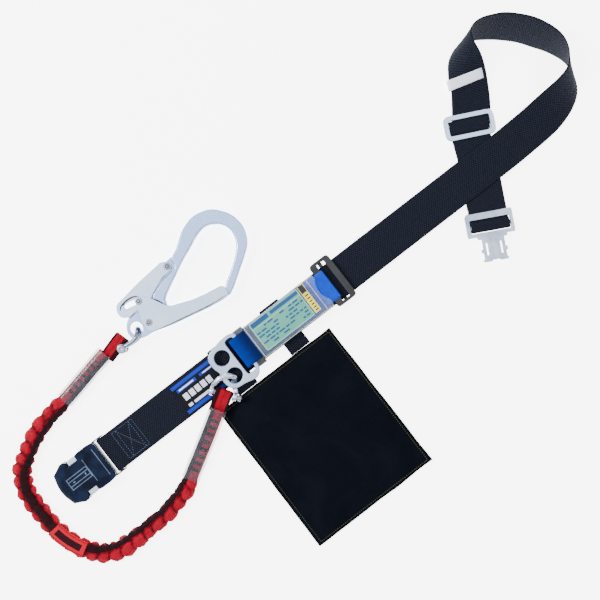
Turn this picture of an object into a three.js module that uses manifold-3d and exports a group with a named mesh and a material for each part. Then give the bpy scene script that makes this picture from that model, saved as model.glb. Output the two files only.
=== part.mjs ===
// Work-positioning waist belt with a shock absorbing lanyard.
// Millimetres, +Z up. +X runs along the waist belt, from the female buckle towards the turned-over end.
import * as THREE from "three";
import { mergeVertices } from "three/addons/utils/BufferGeometryUtils.js";
import Module from "manifold-3d";

const wasm = await Module();
wasm.setup();

// The point of the drawing that becomes the model's origin: the middle of the rigid parts' outline.
const ORIGIN = new THREE.Vector3(34.16, -41.89, 0);

// Waist belt
const BELT_WIDTH = 50;
const BELT_THICK = 1.6;
const BELT_Z = 3.5;
const TAIL_Z = 2.8;
const RUN_Z = 4.7;
const CROSS_Z = 6.6;
// Absorber pack
const PACK = { x0: -80, x1: 31, y0: -23.5, y1: 24.5, z0: 5.8, z1: 24 };
const PACK_WALL = 0.8;
const FOLD_TOP_Z = 19;
const FOLD_LOW_Z = 11;
// Connector plate
const PLATE_Z0 = 13;
const PLATE_Z1 = 17;
const PLATE_HOLE_R = 9.9;
// Hook
const HOOK_Z = 11;
const HOOK_BODY_HALF = 4.5;
const HOOK_BOW_HALF = 7;
const LEVER_IN = 4.8;
const LEVER_OUT = 6.4;
const GATE_IN = 6.7;
const GATE_OUT = 8.3;
const EYE = [-188.5, 107];
const GATE_PIVOT = [-169.5, 103];
const GATE_PIN = [-163.5, 132.5];
const LEVER_PIVOT = [-108, 145.5];
const RIVET_R = 3;
const GATE_OPEN = 30;
const LEVER_RATIO = 0.15;
// Shackles
const ROD_R = 2.8;
const PIN_R = 2.9;
const UPPER_PIN = [-217.5, 97.5];
const LOWER_PIN = new THREE.Vector3(-150.5, -27.5, 12.5);
const LOWER_PIN_HEADING = -52.5;
// Male buckle, in its own frame: u runs out along the belt, v across it
const MALE_AT = [261, -49];
const MALE_HEADING = -117.4;
const MALE_Z0 = 5.8;
const MALE_Z1 = 8;
// Silver slide
const SLIDE_AT = [309.8, 53];
const SLIDE_HEADING = -116;
// Pouch
const POUCH = { x0: -173, x1: 9.5, y0: -259.5, y1: -43, thick: 6.4 };
const POUCH_WALL = 0.8;

const V = (x, y, z = 0) => new THREE.Vector3(x, y, z);
const RAD = Math.PI / 180;

// ---------- solids ----------

function toManifold(geometry) {
  const bare = new THREE.BufferGeometry();
  bare.setAttribute("position", geometry.getAttribute("position").clone());
  if (geometry.index) bare.setIndex(geometry.index.clone());
  const merged = geometry.userData.joined ? bare : mergeVertices(bare, 1e-4);
  const vertProperties = new Float32Array(merged.getAttribute("position").array);
  const triVerts = new Uint32Array(merged.index.array);
  return new wasm.Manifold(new wasm.Mesh({ numProp: 3, vertProperties, triVerts }));
}

function toGeometry(manifold) {
  const mesh = manifold.getMesh();
  const shared = new Map();
  mesh.mergeFromVert.forEach((from, i) => shared.set(from, mesh.mergeToVert[i]));
  const corners = mesh.triVerts.map((vertex) => shared.get(vertex) ?? vertex);
  const geometry = new THREE.BufferGeometry();
  geometry.setAttribute("position", new THREE.BufferAttribute(new Float32Array(mesh.vertProperties), 3));
  geometry.setIndex(new THREE.BufferAttribute(new Uint32Array(corners), 1));
  geometry.userData.joined = true;
  return geometry;
}

function join(...geometries) {
  return toGeometry(geometries.map(toManifold).reduce((sum, next) => sum.add(next)));
}

function cut(geometry, ...tools) {
  return toGeometry(tools.map(toManifold).reduce((rest, tool) => rest.subtract(tool), toManifold(geometry)));
}

function box(x0, x1, y0, y1, z0, z1) {
  return new THREE.BoxGeometry(x1 - x0, y1 - y0, z1 - z0).translate((x0 + x1) / 2, (y0 + y1) / 2, (z0 + z1) / 2);
}

// A closed outline always runs anticlockwise, so that its holes are cut the right way round.
function anticlockwise(list) {
  const points = list.map(([x, y]) => new THREE.Vector2(x, y));
  return THREE.ShapeUtils.isClockWise(points) ? points.reverse() : points;
}

function outline(points) {
  return new THREE.Shape(anticlockwise(points));
}

function roundedOutline(list, radius) {
  const shape = new THREE.Shape();
  const points = anticlockwise(list).map((point) => point.toArray());
  const count = points.length;
  points.forEach(([x, y], i) => {
    const corner = new THREE.Vector2(x, y);
    const before = new THREE.Vector2(...points[(i + count - 1) % count]).sub(corner);
    const after = new THREE.Vector2(...points[(i + 1) % count]).sub(corner);
    const reach = Math.min(radius, before.length() * 0.49, after.length() * 0.49);
    const start = corner.clone().add(before.setLength(reach));
    const end = corner.clone().add(after.setLength(reach));
    if (i === 0) shape.moveTo(start.x, start.y);
    else shape.lineTo(start.x, start.y);
    shape.quadraticCurveTo(x, y, end.x, end.y);
  });
  return shape;
}

function plate(shape, z0, z1, bevel = 0, curveSegments = 3) {
  const options = { depth: z1 - z0 - 2 * bevel, bevelEnabled: bevel > 0, curveSegments };
  if (bevel > 0) {
    Object.assign(options, { bevelThickness: bevel, bevelSize: bevel, bevelOffset: -bevel, bevelSegments: 1 });
  }
  return new THREE.ExtrudeGeometry(shape, options).translate(0, 0, z0 + bevel);
}

function disc(x, y, radius, z0, z1, sides = 20) {
  return new THREE.CylinderGeometry(radius, radius, z1 - z0, sides)
    .rotateX(Math.PI / 2)
    .translate(x, y, (z0 + z1) / 2);
}

function tube(points, radius, steps, sides = 8, squash = 1) {
  const ring = [];
  for (let i = 0; i < sides; i += 1) {
    const turn = (i / sides) * 2 * Math.PI;
    ring.push([Math.cos(turn) * radius * squash, Math.sin(turn) * radius]);
  }
  const path = new THREE.CatmullRomCurve3(points, false, "centripetal");
  return new THREE.ExtrudeGeometry(outline(ring), { steps, extrudePath: path, bevelEnabled: false });
}

function helix(centre, radius, length, turns, wire) {
  const points = [];
  const count = turns * 8;
  for (let i = 0; i <= count; i += 1) {
    const turn = (i / 8) * 2 * Math.PI;
    points.push(V(
      centre.x + Math.cos(turn) * radius,
      centre.y + (i / count - 0.5) * length,
      centre.z + Math.sin(turn) * radius,
    ));
  }
  return tube(points, wire, count, 5);
}

// ---------- woven straps: a strip that follows stations of centre and width direction ----------

// Opposite faces are split along the same diagonal, so a thin strap can twist without its skins crossing.
function ribbon(stations, width, thick) {
  const corners = [];
  stations.forEach(({ centre, across }, i) => {
    const before = stations[Math.max(i - 1, 0)].centre;
    const after = stations[Math.min(i + 1, stations.length - 1)].centre;
    const along = after.clone().sub(before);
    const side = across.clone().normalize();
    const up = along.cross(side).normalize();
    const half = side.multiplyScalar(width / 2);
    const rise = up.multiplyScalar(thick / 2);
    corners.push(centre.clone().add(half).add(rise));
    corners.push(centre.clone().sub(half).add(rise));
    corners.push(centre.clone().sub(half).sub(rise));
    corners.push(centre.clone().add(half).sub(rise));
  });
  const index = [];
  for (let i = 0; i + 1 < stations.length; i += 1) {
    for (let k = 0; k < 4; k += 1) {
      const a = i * 4 + k;
      const b = i * 4 + ((k + 1) % 4);
      if (k < 2) {
        index.push(a, b, a + 4, b, b + 4, a + 4);
      } else {
        index.push(a, b, b + 4, a, b + 4, a + 4);
      }
    }
  }
  const last = corners.length - 4;
  index.push(0, 2, 1, 0, 3, 2);
  index.push(last, last + 1, last + 2, last, last + 2, last + 3);
  const geometry = new THREE.BufferGeometry().setFromPoints(corners);
  geometry.setIndex(index);
  return facingOut(geometry);
}

function facingOut(geometry) {
  const points = geometry.getAttribute("position");
  const index = geometry.index;
  const corner = (k) => new THREE.Vector3().fromBufferAttribute(points, index.getX(k));
  let volume = 0;
  for (let i = 0; i < index.count; i += 3) {
    volume += corner(i).dot(corner(i + 1).cross(corner(i + 2)));
  }
  if (volume < 0) {
    const turned = Array.from(index.array);
    for (let i = 0; i < turned.length; i += 3) {
      [turned[i], turned[i + 1]] = [turned[i + 1], turned[i]];
    }
    geometry.setIndex(turned);
  }
  return geometry;
}

// A polyline in the plane of travel and height, with each corner rounded.
function filleted(points, radius, segments = 3) {
  const path = [new THREE.Vector2(...points[0])];
  for (let i = 1; i + 1 < points.length; i += 1) {
    const corner = new THREE.Vector2(...points[i]);
    const before = new THREE.Vector2(...points[i - 1]).sub(corner);
    const after = new THREE.Vector2(...points[i + 1]).sub(corner);
    const reach = Math.min(radius, before.length() * 0.48, after.length() * 0.48);
    const start = corner.clone().add(before.setLength(reach));
    const end = corner.clone().add(after.setLength(reach));
    path.push(...new THREE.QuadraticBezierCurve(start, corner, end).getPoints(segments));
  }
  path.push(new THREE.Vector2(...points[points.length - 1]));
  return path;
}

// Stations of a strip that runs straight over the ground: [travel, height] pairs along a heading.
function straightRun(start, heading, pairs, radius, shift = 0) {
  const ahead = V(Math.cos(heading * RAD), Math.sin(heading * RAD));
  const left = V(-ahead.y, ahead.x);
  return filleted(pairs, radius).map(({ x, y }) => ({
    centre: V(start[0], start[1], y).addScaledVector(ahead, x).addScaledVector(left, shift),
    across: left.clone(),
  }));
}

// ---------- waist belt ----------

// The turned-over end: the strip's right and left edges, pair by pair, [x, y, z, x, y, z].
const TURN = [
  [225, -25, 3.5, 225, 25, 3.5],
  [240, -25, 4.6, 240, 25, 4.6],
  [256, -25, CROSS_Z, 256, 25, CROSS_Z],
  [292, -25, CROSS_Z, 292, 25, CROSS_Z],
  [326, -24.8, CROSS_Z, 326, 25, CROSS_Z],
  [344, -24, 5, 342, 25.2, 5.6],
  [362, -23, 3.4, 358, 25.4, 4.6],
  [381, -21.5, 2.4, 375, 25.5, 5.4],
  [400, -18.5, 1.5, 393, 26, 9],
  [420, -13.5, 1, 409, 27.5, 19],
  [437, -6.5, 1, 424, 29.5, 30],
  [448, 2, 1, 436, 32.5, 38],
  [454, 12, 1, 444, 37, 43],
  [457, 24, 1, 449, 43.5, 45.5],
  [458.5, 36, 1, 453.5, 51, 47.5],
  [457, 47, 1, 456.5, 60, 48.5],
  [452, 60, 1, 457.3, 70, 48.5],
  [446, 71, 1, 456, 79.5, 48.2],
  [437, 84, 1, 452, 92.5, 47],
  [427, 98.5, 1, 445, 107, 46.2],
  [416, 110.5, 1, 434, 121, 45.6],
  [404, 121.5, 1, 419, 135, 46],
  [393, 130, 1, 404.5, 142.5, 47],
  [383, 136.5, 1, 391.6, 147.4, 48],
  [372, 141, 1, 380, 148, 48],
  [358, 142.5, 1.5, 371.5, 143.5, 47],
  [348, 139, 2.2, 368, 137, 43],
  [340, 132.5, 3, 367, 129, 37],
  [333.5, 123, 4, 367, 118, 29],
  [327, 113.5, 4.5, 367, 107, 20],
  [321, 103.5, 4.7, 365.5, 95.5, 12.5],
  [314, 94, 4.7, 360.5, 80, 6.5],
  [305.5, 83, 4.7, 349.5, 60, 4.7],
  [296, 71, 4.7, 340, 47.5, 4.7],
  [285.7, 61.7, 4.7, 330, 38, 4.7],
  [278, 44, 4.7, 323.5, 23, 4.7],
  [270, 25, 4.7, 315.5, 4, 4.7],
  [260, 5, 4.7, 305, -17, 4.7],
  [249, -17, 4.7, 294, -39, 4.7],
  [241, -33, 4.7, 285.5, -56, 4.7],
];

function turnStations() {
  const middles = TURN.map((s) => V((s[0] + s[3]) / 2, (s[1] + s[4]) / 2, (s[2] + s[5]) / 2));
  const widths = TURN.map((s) => V(s[3] - s[0], s[4] - s[1], s[5] - s[2]).normalize());
  const centreLine = new THREE.CatmullRomCurve3(middles, false, "catmullrom", 0.5);
  const widthLine = new THREE.CatmullRomCurve3(widths, false, "catmullrom", 0.5);
  const count = (TURN.length - 1) * 2;
  return Array.from({ length: count + 1 }, (_, i) => {
    const centre = centreLine.getPoint(i / count);
    const across = widthLine.getPoint(i / count).normalize();
    const flat = Math.hypot(across.x, across.y);
    const rest = (Math.abs(across.z) * BELT_WIDTH + flat * BELT_THICK) / 2;
    centre.z = Math.max(centre.z, rest);
    return { centre, across };
  });
}

// The free end comes back under the belt from the male buckle's bar and through the silver slide.
function tailStations(turned) {
  const back = turned.slice(-17).reverse();
  return back.map(({ centre, across }) => ({
    centre: V(centre.x, centre.y, TAIL_Z),
    across: across.clone().setZ(0).normalize().negate(),
  }));
}

function beltWebbing() {
  const start = straightRun([0, 0], 0, [
    [-264, 0.9], [-318.8, 0.9], [-318.8, 6.4], [-310, 6.4], [-299, BELT_Z], [215, BELT_Z],
  ], 2.2);
  const turned = turnStations();
  const atBuckle = straightRun(MALE_AT, MALE_HEADING, [
    [-3, RUN_Z], [9.9, RUN_Z], [14.2, 8.6], [22.3, 8.6], [22.3, TAIL_Z], [8, TAIL_Z], [-3, TAIL_Z],
  ], 2);
  return ribbon([...start, ...turned, ...atBuckle, ...tailStations(turned)], BELT_WIDTH, BELT_THICK);
}

function beltLabel() {
  return plate(roundedOutline([[-203, -22], [-141, -22], [-141, 20.5], [-203, 20.5]], 1.5), 4.6, 5.1);
}

// ---------- female buckle ----------

function buckleOutline() {
  const half = [
    [-391, 0], [-390.3, 8], [-388.5, 15], [-386.5, 22], [-377, 26.5], [-373, 28.8], [-368, 28.8],
    [-364.6, 26.2], [-364.6, 20.4], [-350.4, 20.4], [-350.4, 26.8], [-345, 28], [-331, 28], [-323, 26.5],
    [-321.4, 21],
  ];
  const other = half.slice(1).reverse().map(([x, y]) => [x, -y]);
  return outline([...half, ...other]);
}

function buckleSocket(z0, z1) {
  return box(-395, -343, -17, 17, z0, z1);
}

function buttonSlots() {
  return [1, -1].map((side) => {
    const [y0, y1] = side > 0 ? [10.5, 40] : [-40, -10.5];
    return box(-364.6, -350.4, y0, y1, 3.4, 13);
  });
}

function buckleLower() {
  const arms = [1, -1].map((side) => {
    const [y0, y1] = side > 0 ? [25.4, 27.2] : [-27.2, -25.4];
    return box(-324, -309, y0, y1, 0.6, 7.6);
  });
  const shell = cut(plate(buckleOutline(), 0, 8, 0.8), buckleSocket(5.2, 9), ...buttonSlots());
  const bar = box(-317.2, -312.8, -26, 26, 2.2, 5);
  return join(shell, ...arms, bar);
}

function buckleUpper() {
  const ribs = [-382, -376, -370].map((x) => box(x - 0.8, x + 0.8, -12, 12, 15.6, 16.8));
  const shell = cut(plate(buckleOutline(), 8.3, 16, 0.8), buckleSocket(7, 12.2), ...buttonSlots());
  return join(shell, ...ribs);
}

function latchPlate() {
  const sheet = plate(roundedOutline([[-366, -8.6], [-344, -8.6], [-344, 8.6], [-366, 8.6]], 1.5), 9.6, 11.2);
  return cut(sheet, box(-359, -351, -4, 4, 8, 13));
}

function releaseButton(side) {
  const profile = [[-364.2, 26], [-364.2, 15.4], [-350.8, 15.4], [-350.8, 26], [-353, 27.4], [-362, 27.4]];
  const button = plate(outline(profile), 3.8, 12.6);
  if (side > 0) return button;
  return button.rotateZ(Math.PI).translate(-715, 0, 0);
}

function releaseSpring(side) {
  return helix(V(-357.5, side * 13.1, 8.2), 2.6, 3.4, 3, 0.3);
}

// ---------- male buckle, silver slide, white keeper ----------

function inFrame(geometry, at, heading) {
  return geometry.rotateZ(heading * RAD).translate(at[0], at[1], 0);
}

function maleFrame() {
  const rim = roundedOutline([[0, -30.4], [31, -30.8], [31, 30.8], [0, 30.4]], 3);
  rim.holes.push(roundedOutline([[9, -26], [26.3, -26], [26.3, 26], [9, 26]], 1.5));
  const tongue = outline([
    [29, -20], [34.5, -19], [35, -14.6], [47, -14.6], [48, -17], [52, -17], [53, -14.6], [60, -14.6],
    [62.5, -16.8], [64.5, -15.5], [64.5, -5.5], [62.8, -4.5], [62.8, 4.5], [64.5, 5.5], [64.5, 15.5],
    [62.5, 16.8], [60, 14.6], [53, 14.6], [52, 17], [48, 17], [47, 14.6], [35, 14.6], [34.5, 19], [29, 20],
  ]);
  const tongueSlots = [1, -1].map((side) => {
    const edge = side > 0 ? [[40, 8], [56, 8], [56, 10.6], [40, 10.6]] : [[40, -10.6], [56, -10.6], [56, -8], [40, -8]];
    return plate(roundedOutline(edge, 1.2), 5, 9);
  });
  const lip = box(28.9, 31, -30.2, 30.2, 0, 7);
  const sides = [1, -1].map((side) => {
    const [v0, v1] = side > 0 ? [29, 30.6] : [-30.6, -29];
    return box(3, 29.5, v0, v1, 0, 7);
  });
  const rib = box(33, 60, -2.6, 2.6, 7.4, 8.8);
  const body = join(plate(rim, MALE_Z0, MALE_Z1, 0.5), plate(tongue, MALE_Z0, MALE_Z1), lip, ...sides, rib);
  return inFrame(cut(body, ...tongueSlots), MALE_AT, MALE_HEADING);
}

function maleBar() {
  const core = box(15.4, 20.8, -28.7, 28.7, 4, 5.5);
  return inFrame(join(core, box(15.4, 20.8, -25.4, 25.4, 5.4, 7.4)), MALE_AT, MALE_HEADING);
}

function silverSlide() {
  const rim = roundedOutline([[-16.4, -33], [16.4, -33], [16.4, 33], [-16.4, 33]], 9);
  rim.holes.push(roundedOutline([[-9.6, -26.4], [9.6, -26.4], [9.6, 26.4], [-9.6, 26.4]], 2));
  const posts = [1, -1].map((side) => {
    const [v0, v1] = side > 0 ? [28.2, 30.8] : [-30.8, -28.2];
    return box(-3, 3, v0, v1, 0.2, 6.4);
  });
  const bar = box(-2.8, 2.8, -29, 29, 0.2, 1.6);
  return inFrame(join(plate(rim, 5.9, 8.6, 0.7), ...posts, bar), SLIDE_AT, SLIDE_HEADING);
}

// The keeper is a flat tube that follows the belt's own twist.
function whiteKeeper(turned) {
  const wrapped = turned.slice(58, 61);
  const outer = ribbon(wrapped, BELT_WIDTH + 3, BELT_THICK + 3);
  const longer = turned.slice(57, 62);
  return cut(outer, ribbon(longer, BELT_WIDTH + 1, BELT_THICK + 1.2));
}

// ---------- absorber pack on the belt ----------

function absorberWebbing() {
  const folds = [
    [12, 7.6], [28, 7.6], [44.2, 7.6], [44.2, 13.7], [28, 13.7], [20, 9.7], [6, 9.7],
    [-66, 9.7], [-66, 12.1], [4, 12.1], [4, 14.4], [-64, 14.4], [-64, 16.6], [4, 16.6],
    [4, 19], [-84, FOLD_TOP_Z], [-98.9, FOLD_TOP_Z], [-98.9, FOLD_LOW_Z], [-84, FOLD_LOW_Z], [-70, FOLD_LOW_Z],
  ];
  return ribbon(straightRun([0, 0.8], 0, folds, 1.1), 42, 1.5);
}

function absorberCover() {
  const { x0, x1, y0, y1, z0, z1 } = PACK;
  const section = roundedOutline([[y0, z0], [y1, z0], [y1, z1], [y0, z1]], 3);
  const w = PACK_WALL;
  section.holes.push(roundedOutline([[y0 + w, z0 + w], [y1 - w, z0 + w], [y1 - w, z1 - w], [y0 + w, z1 - w]], 2.4));
  const body = new THREE.ExtrudeGeometry(section, { depth: x1 - x0, bevelEnabled: false, curveSegments: 3 })
    .rotateX(Math.PI / 2)
    .rotateZ(Math.PI / 2)
    .translate(x0, 0, 0);
  return cut(body, disc(52, 2, 26.5, 0, 40, 28));
}

function labelCard() {
  return plate(roundedOutline([[-72, -18.5], [4.5, -18.5], [4.5, 23], [-72, 23]], 3), 24.3, 24.7);
}

function indicatorStrip() {
  return plate(roundedOutline([[5.8, -17.5], [14.6, -17.5], [14.6, 23], [5.8, 23]], 1), 24.3, 24.6);
}

function greyKeeper() {
  return cut(box(-95, -81.5, -28.3, 28.3, 0.6, 8.3), box(-100, -75, -26, 26, 2.1, 6.7));
}

function blackSlide() {
  const rim = roundedOutline([[33.6, -30.4], [63, -30.4], [63, 34.6], [33.6, 34.6]], 5);
  rim.holes.push(roundedOutline([[42.4, -26.2], [54.6, -26.2], [54.6, 30.2], [42.4, 30.2]], 1.5));
  const nearBar = box(36, 43, -27, 31, 8.7, 12.5);
  const posts = [[-30, -26.6], [30.6, 34.2]].map(([y0, y1]) => box(45.4, 51, y0, y1, 0.5, 10));
  const bar = box(45.6, 50.8, -29, 33, 0.5, 2.2);
  const rimPlate = cut(plate(rim, 8.7, 12.5, 0.8), box(50, 70, -60, 60, 11.6, 14));
  return join(rimPlate, nearBar, ...posts, bar);
}

// ---------- connector plate and shackles ----------

function connectorPlate() {
  const rim = roundedOutline([
    [-141.5, 4], [-141.5, 17], [-136, 24], [-128, 26.5], [-113, 29.4], [-101, 30], [-91.8, 27],
    [-91.8, -27], [-98, -35], [-106, -37.4], [-120, -33.6], [-131, -33], [-138, -28], [-141.5, -20],
    [-141.5, -11], [-138, -4],
  ], 4);
  rim.holes.push(roundHole(-124, 10, PLATE_HOLE_R), roundHole(-124.3, -17.2, PLATE_HOLE_R));
  rim.holes.push(roundedOutline([[-109.5, -27], [-97.6, -27], [-97.6, 24.5], [-109.5, 24.5]], 4));
  return plate(rim, PLATE_Z0, PLATE_Z1, 0.8, 2);
}

function roundHole(x, y, radius, sides = 20) {
  const corners = Array.from({ length: sides }, (_, i) => (i / sides) * 2 * Math.PI);
  return outline(corners.map((turn) => [x + Math.cos(turn) * radius, y + Math.sin(turn) * radius]));
}

function pinFrame(along, out, up = 0) {
  const turn = LOWER_PIN_HEADING * RAD;
  const axis = V(Math.cos(turn), Math.sin(turn));
  const outward = V(-axis.y, axis.x);
  return LOWER_PIN.clone().addScaledVector(axis, along).addScaledVector(outward, out).add(V(0, 0, up));
}

function ear(radius, thick, hole, place) {
  return cut(place(disc(0, 0, radius, -thick / 2, thick / 2, 16)), place(disc(0, 0, hole, -thick, thick, 16)));
}

function alongPin(shift) {
  return (geometry) => geometry
    .rotateX(Math.PI / 2)
    .rotateZ((LOWER_PIN_HEADING + 90) * RAD)
    .translate(...pinFrame(shift, 0).toArray());
}

function lowerShackleBow() {
  const rod = tube([
    pinFrame(-16, 5.5), pinFrame(-15, 11, 2), pinFrame(-11, 17, 6.5), V(-141, -13, 20.3),
    V(-135, -15.5, 20.4), V(-129.5, -17, 18.6), V(-127.6, -17.6, 15), V(-129.6, -19, 11),
    V(-134.5, -22.5, 9.4), pinFrame(7.5, 13.5, -3.1), pinFrame(13, 10.5, -3), pinFrame(16, 5.5, -1),
  ], ROD_R, 34, 8);
  return join(rod, ear(6, 5.2, PIN_R + 0.3, alongPin(-16)), ear(6, 5.2, PIN_R + 0.3, alongPin(16)));
}

function lowerShacklePin() {
  const shaft = alongPin(0)(disc(0, 0, PIN_R, -19, 19, 16));
  const head = alongPin(21)(disc(0, 0, 4.7, -2, 2, 16));
  const socket = alongPin(22.4)(disc(0, 0, 2.1, -1.2, 1.2, 6));
  return cut(join(shaft, head), socket);
}

function upperShackleBow() {
  const [x, y] = UPPER_PIN;
  const low = 3.15;
  const high = 2 * HOOK_Z - low;
  const rod = tube([
    V(x + 5.5, y + 0.5, high), V(x + 13, y + 3, high), V(x + 22, y + 6, high), V(x + 28, y + 8.6, high - 1.4),
    V(x + 30.6, y + 9.8, HOOK_Z + 3.4), V(x + 30.6, y + 9.8, HOOK_Z - 3.4), V(x + 28, y + 8.6, low + 1.4),
    V(x + 22, y + 6, low), V(x + 13, y + 3, low), V(x + 5.5, y + 0.5, low),
  ], ROD_R, 30, 8);
  const earAt = (z) => ear(6, 5, PIN_R + 0.3, (geometry) => geometry.translate(x, y, z));
  return join(rod, earAt(high), earAt(low));
}

function upperShacklePin() {
  const [x, y] = UPPER_PIN;
  const head = disc(x, y, 4.6, 21.9, 24.6, 16);
  return cut(join(disc(x, y, PIN_R, 0.5, 22.4, 16), head), disc(x, y, 2, 23, 26, 6));
}

// ---------- hook ----------

function hookPoints(points) {
  const scale = 0.988;
  return points.map(([x, y]) => [x * scale, 8.1 + (y - 8.1) * scale]);
}

function hookBody() {
  const bow = plate(roundedOutline(hookPoints([
    [-118, 128], [-110, 131], [-90, 141], [-70, 149], [-55, 155.5], [-45, 158], [-38, 158], [-30, 155],
    [-21, 147.5], [-16.5, 138], [-16.5, 128], [-20, 118], [-29, 107], [-40, 98], [-50, 91.5], [-66, 81],
    [-70, 77], [-70, 70], [-60, 72.5], [-50, 78.5], [-35, 88.5], [-20, 98.5], [-9, 108], [-3, 118],
    [0, 128], [0, 138], [-3, 150], [-10, 161.5], [-20, 171.5], [-34, 177], [-46, 178], [-57, 175.5],
    [-67, 171.5], [-77, 165], [-87, 158], [-97, 153], [-112, 150],
  ]), 3), HOOK_Z - HOOK_BOW_HALF, HOOK_Z + HOOK_BOW_HALF, 0, 1);
  const base = roundedOutline(hookPoints([
    [-200, 99], [-204.5, 106], [-204.5, 116], [-198, 123], [-186, 126.5], [-172, 131], [-158, 136],
    [-145, 140], [-130, 143.5], [-114, 150], [-96, 152.5], [-84, 158], [-84, 144], [-110, 131], [-130, 120.5],
    [-138, 115], [-141.5, 108], [-145, 100], [-160, 94], [-178, 92], [-190, 93.5],
  ]), 4);
  base.holes.push(roundHole(EYE[0], EYE[1], 9.8));
  base.holes.push(roundHole(GATE_PIVOT[0], GATE_PIVOT[1], RIVET_R + 0.3));
  base.holes.push(roundHole(LEVER_PIVOT[0], LEVER_PIVOT[1], RIVET_R + 0.3));
  const spine = plate(base, HOOK_Z - HOOK_BODY_HALF, HOOK_Z + HOOK_BODY_HALF, 0, 2);
  const clearance = pinSlot(pinAt, RIVET_R + 0.9);
  const nose = [
    box(-90, -56, 55, 93, HOOK_Z + HOOK_BODY_HALF, HOOK_Z + 12),
    box(-90, -56, 55, 93, HOOK_Z - 12, HOOK_Z - HOOK_BODY_HALF),
  ];
  const heel = [
    box(-130, -92, 110, 160, HOOK_Z + HOOK_BODY_HALF, HOOK_Z + 12),
    box(-130, -92, 110, 160, HOOK_Z - 12, HOOK_Z - HOOK_BODY_HALF),
  ];
  const leverHole = disc(LEVER_PIVOT[0], LEVER_PIVOT[1], RIVET_R + 0.3, 0, 30);
  return cut(join(cut(bow, ...nose, ...heel), spine), clearance, leverHole);
}

// The lock pin's place with the gate turned open by some degrees, and as the turning lever sees it.
function pinAt(turn) {
  return turned(GATE_PIN, GATE_PIVOT, turn);
}

function pinInLever(turn) {
  return turned(pinAt(turn), LEVER_PIVOT, -turn * LEVER_RATIO);
}

function turned([x, y], [cx, cy], degrees) {
  const c = Math.cos(degrees * RAD);
  const d = Math.sin(degrees * RAD);
  return [cx + (x - cx) * c - (y - cy) * d, cy + (x - cx) * d + (y - cy) * c];
}

// A slot of even width along the pin's path, from just before closed to just past open.
function pinSlot(place, radius) {
  const count = 10;
  const stops = Array.from({ length: count + 1 }, (_, i) => place(-2 + (i / count) * (GATE_OPEN + 4)));
  const side = (offset) => stops.map(([x, y], i) => {
    const [ax, ay] = stops[Math.max(i - 1, 0)];
    const [bx, by] = stops[Math.min(i + 1, count)];
    const length = Math.hypot(bx - ax, by - ay);
    return [x - ((by - ay) / length) * offset, y + ((bx - ax) / length) * offset];
  });
  const slot = plate(outline([...side(radius), ...side(-radius).reverse()]), 0, 30);
  const ends = [stops[0], stops[count]].map(([x, y]) => disc(x, y, radius, 0, 30, 16));
  return join(slot, ...ends);
}

function gateCheek(z0, z1) {
  const cheek = roundedOutline(hookPoints([
    [-160, 137.5], [-168, 138], [-171, 132], [-172.5, 124], [-178, 112], [-178.5, 100], [-175, 91.5],
    [-150, 83.5], [-100, 72.5], [-80, 69.5], [-69, 69.5], [-66.5, 76], [-68, 85], [-90, 88.5],
    [-110, 93.5], [-125, 99.5], [-137, 104], [-142, 110], [-148, 122], [-153, 130],
  ]), 3);
  cheek.holes.push(roundHole(GATE_PIVOT[0], GATE_PIVOT[1], RIVET_R + 0.3));
  return plate(cheek, z0, z1, 0, 2);
}

function hookGate() {
  const web = plate(outline(hookPoints([
    [-138, 81], [-100, 72.6], [-88, 71], [-87.6, 73], [-100, 74.7], [-137.5, 83],
  ])), HOOK_Z - GATE_OUT, HOOK_Z + GATE_OUT);
  const bridge = plate(outline(hookPoints([
    [-88, 86.6], [-72, 83.6], [-71.6, 85.4], [-88, 88.5],
  ])), HOOK_Z - GATE_OUT, HOOK_Z + GATE_OUT);
  const cheeks = [gateCheek(HOOK_Z + GATE_IN, HOOK_Z + GATE_OUT), gateCheek(HOOK_Z - GATE_OUT, HOOK_Z - GATE_IN)];
  return cut(join(...cheeks, web, bridge), disc(GATE_PIN[0], GATE_PIN[1], RIVET_R + 0.3, 0, 30));
}

function rivet(at, shank, head) {
  const [x, y] = at;
  const caps = [HOOK_Z + shank, HOOK_Z - shank - head]
    .map((z) => disc(x, y, RIVET_R + 1.6, z, z + head, 16));
  return join(disc(x, y, RIVET_R, HOOK_Z - shank - 0.4, HOOK_Z + shank + 0.4, 16), ...caps);
}

function lockLever() {
  const side = (z0, z1) => {
    const shape = roundedOutline(hookPoints([
      [-102.5, 146], [-106, 153], [-113, 156.5], [-150, 153.5], [-192, 147.5], [-197, 139], [-196.5, 130],
      [-190, 125.5], [-176, 124], [-156, 125], [-140, 133], [-124, 139.5], [-108, 140.8],
    ]), 3);
    shape.holes.push(roundHole(LEVER_PIVOT[0], LEVER_PIVOT[1], RIVET_R + 0.3));
    return cut(plate(shape, z0, z1, 0, 2), pinSlot(pinInLever, RIVET_R + 0.7));
  };
  const back = plate(outline(hookPoints([
    [-113, 154.8], [-113, 156.5], [-150, 153.5], [-190, 147.8], [-190, 145.8], [-150, 151.4],
  ])), HOOK_Z - LEVER_OUT, HOOK_Z + LEVER_OUT);
  return join(side(HOOK_Z + LEVER_IN, HOOK_Z + LEVER_OUT), side(HOOK_Z - LEVER_OUT, HOOK_Z - LEVER_IN), back);
}

// ---------- lanyard ----------

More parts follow.
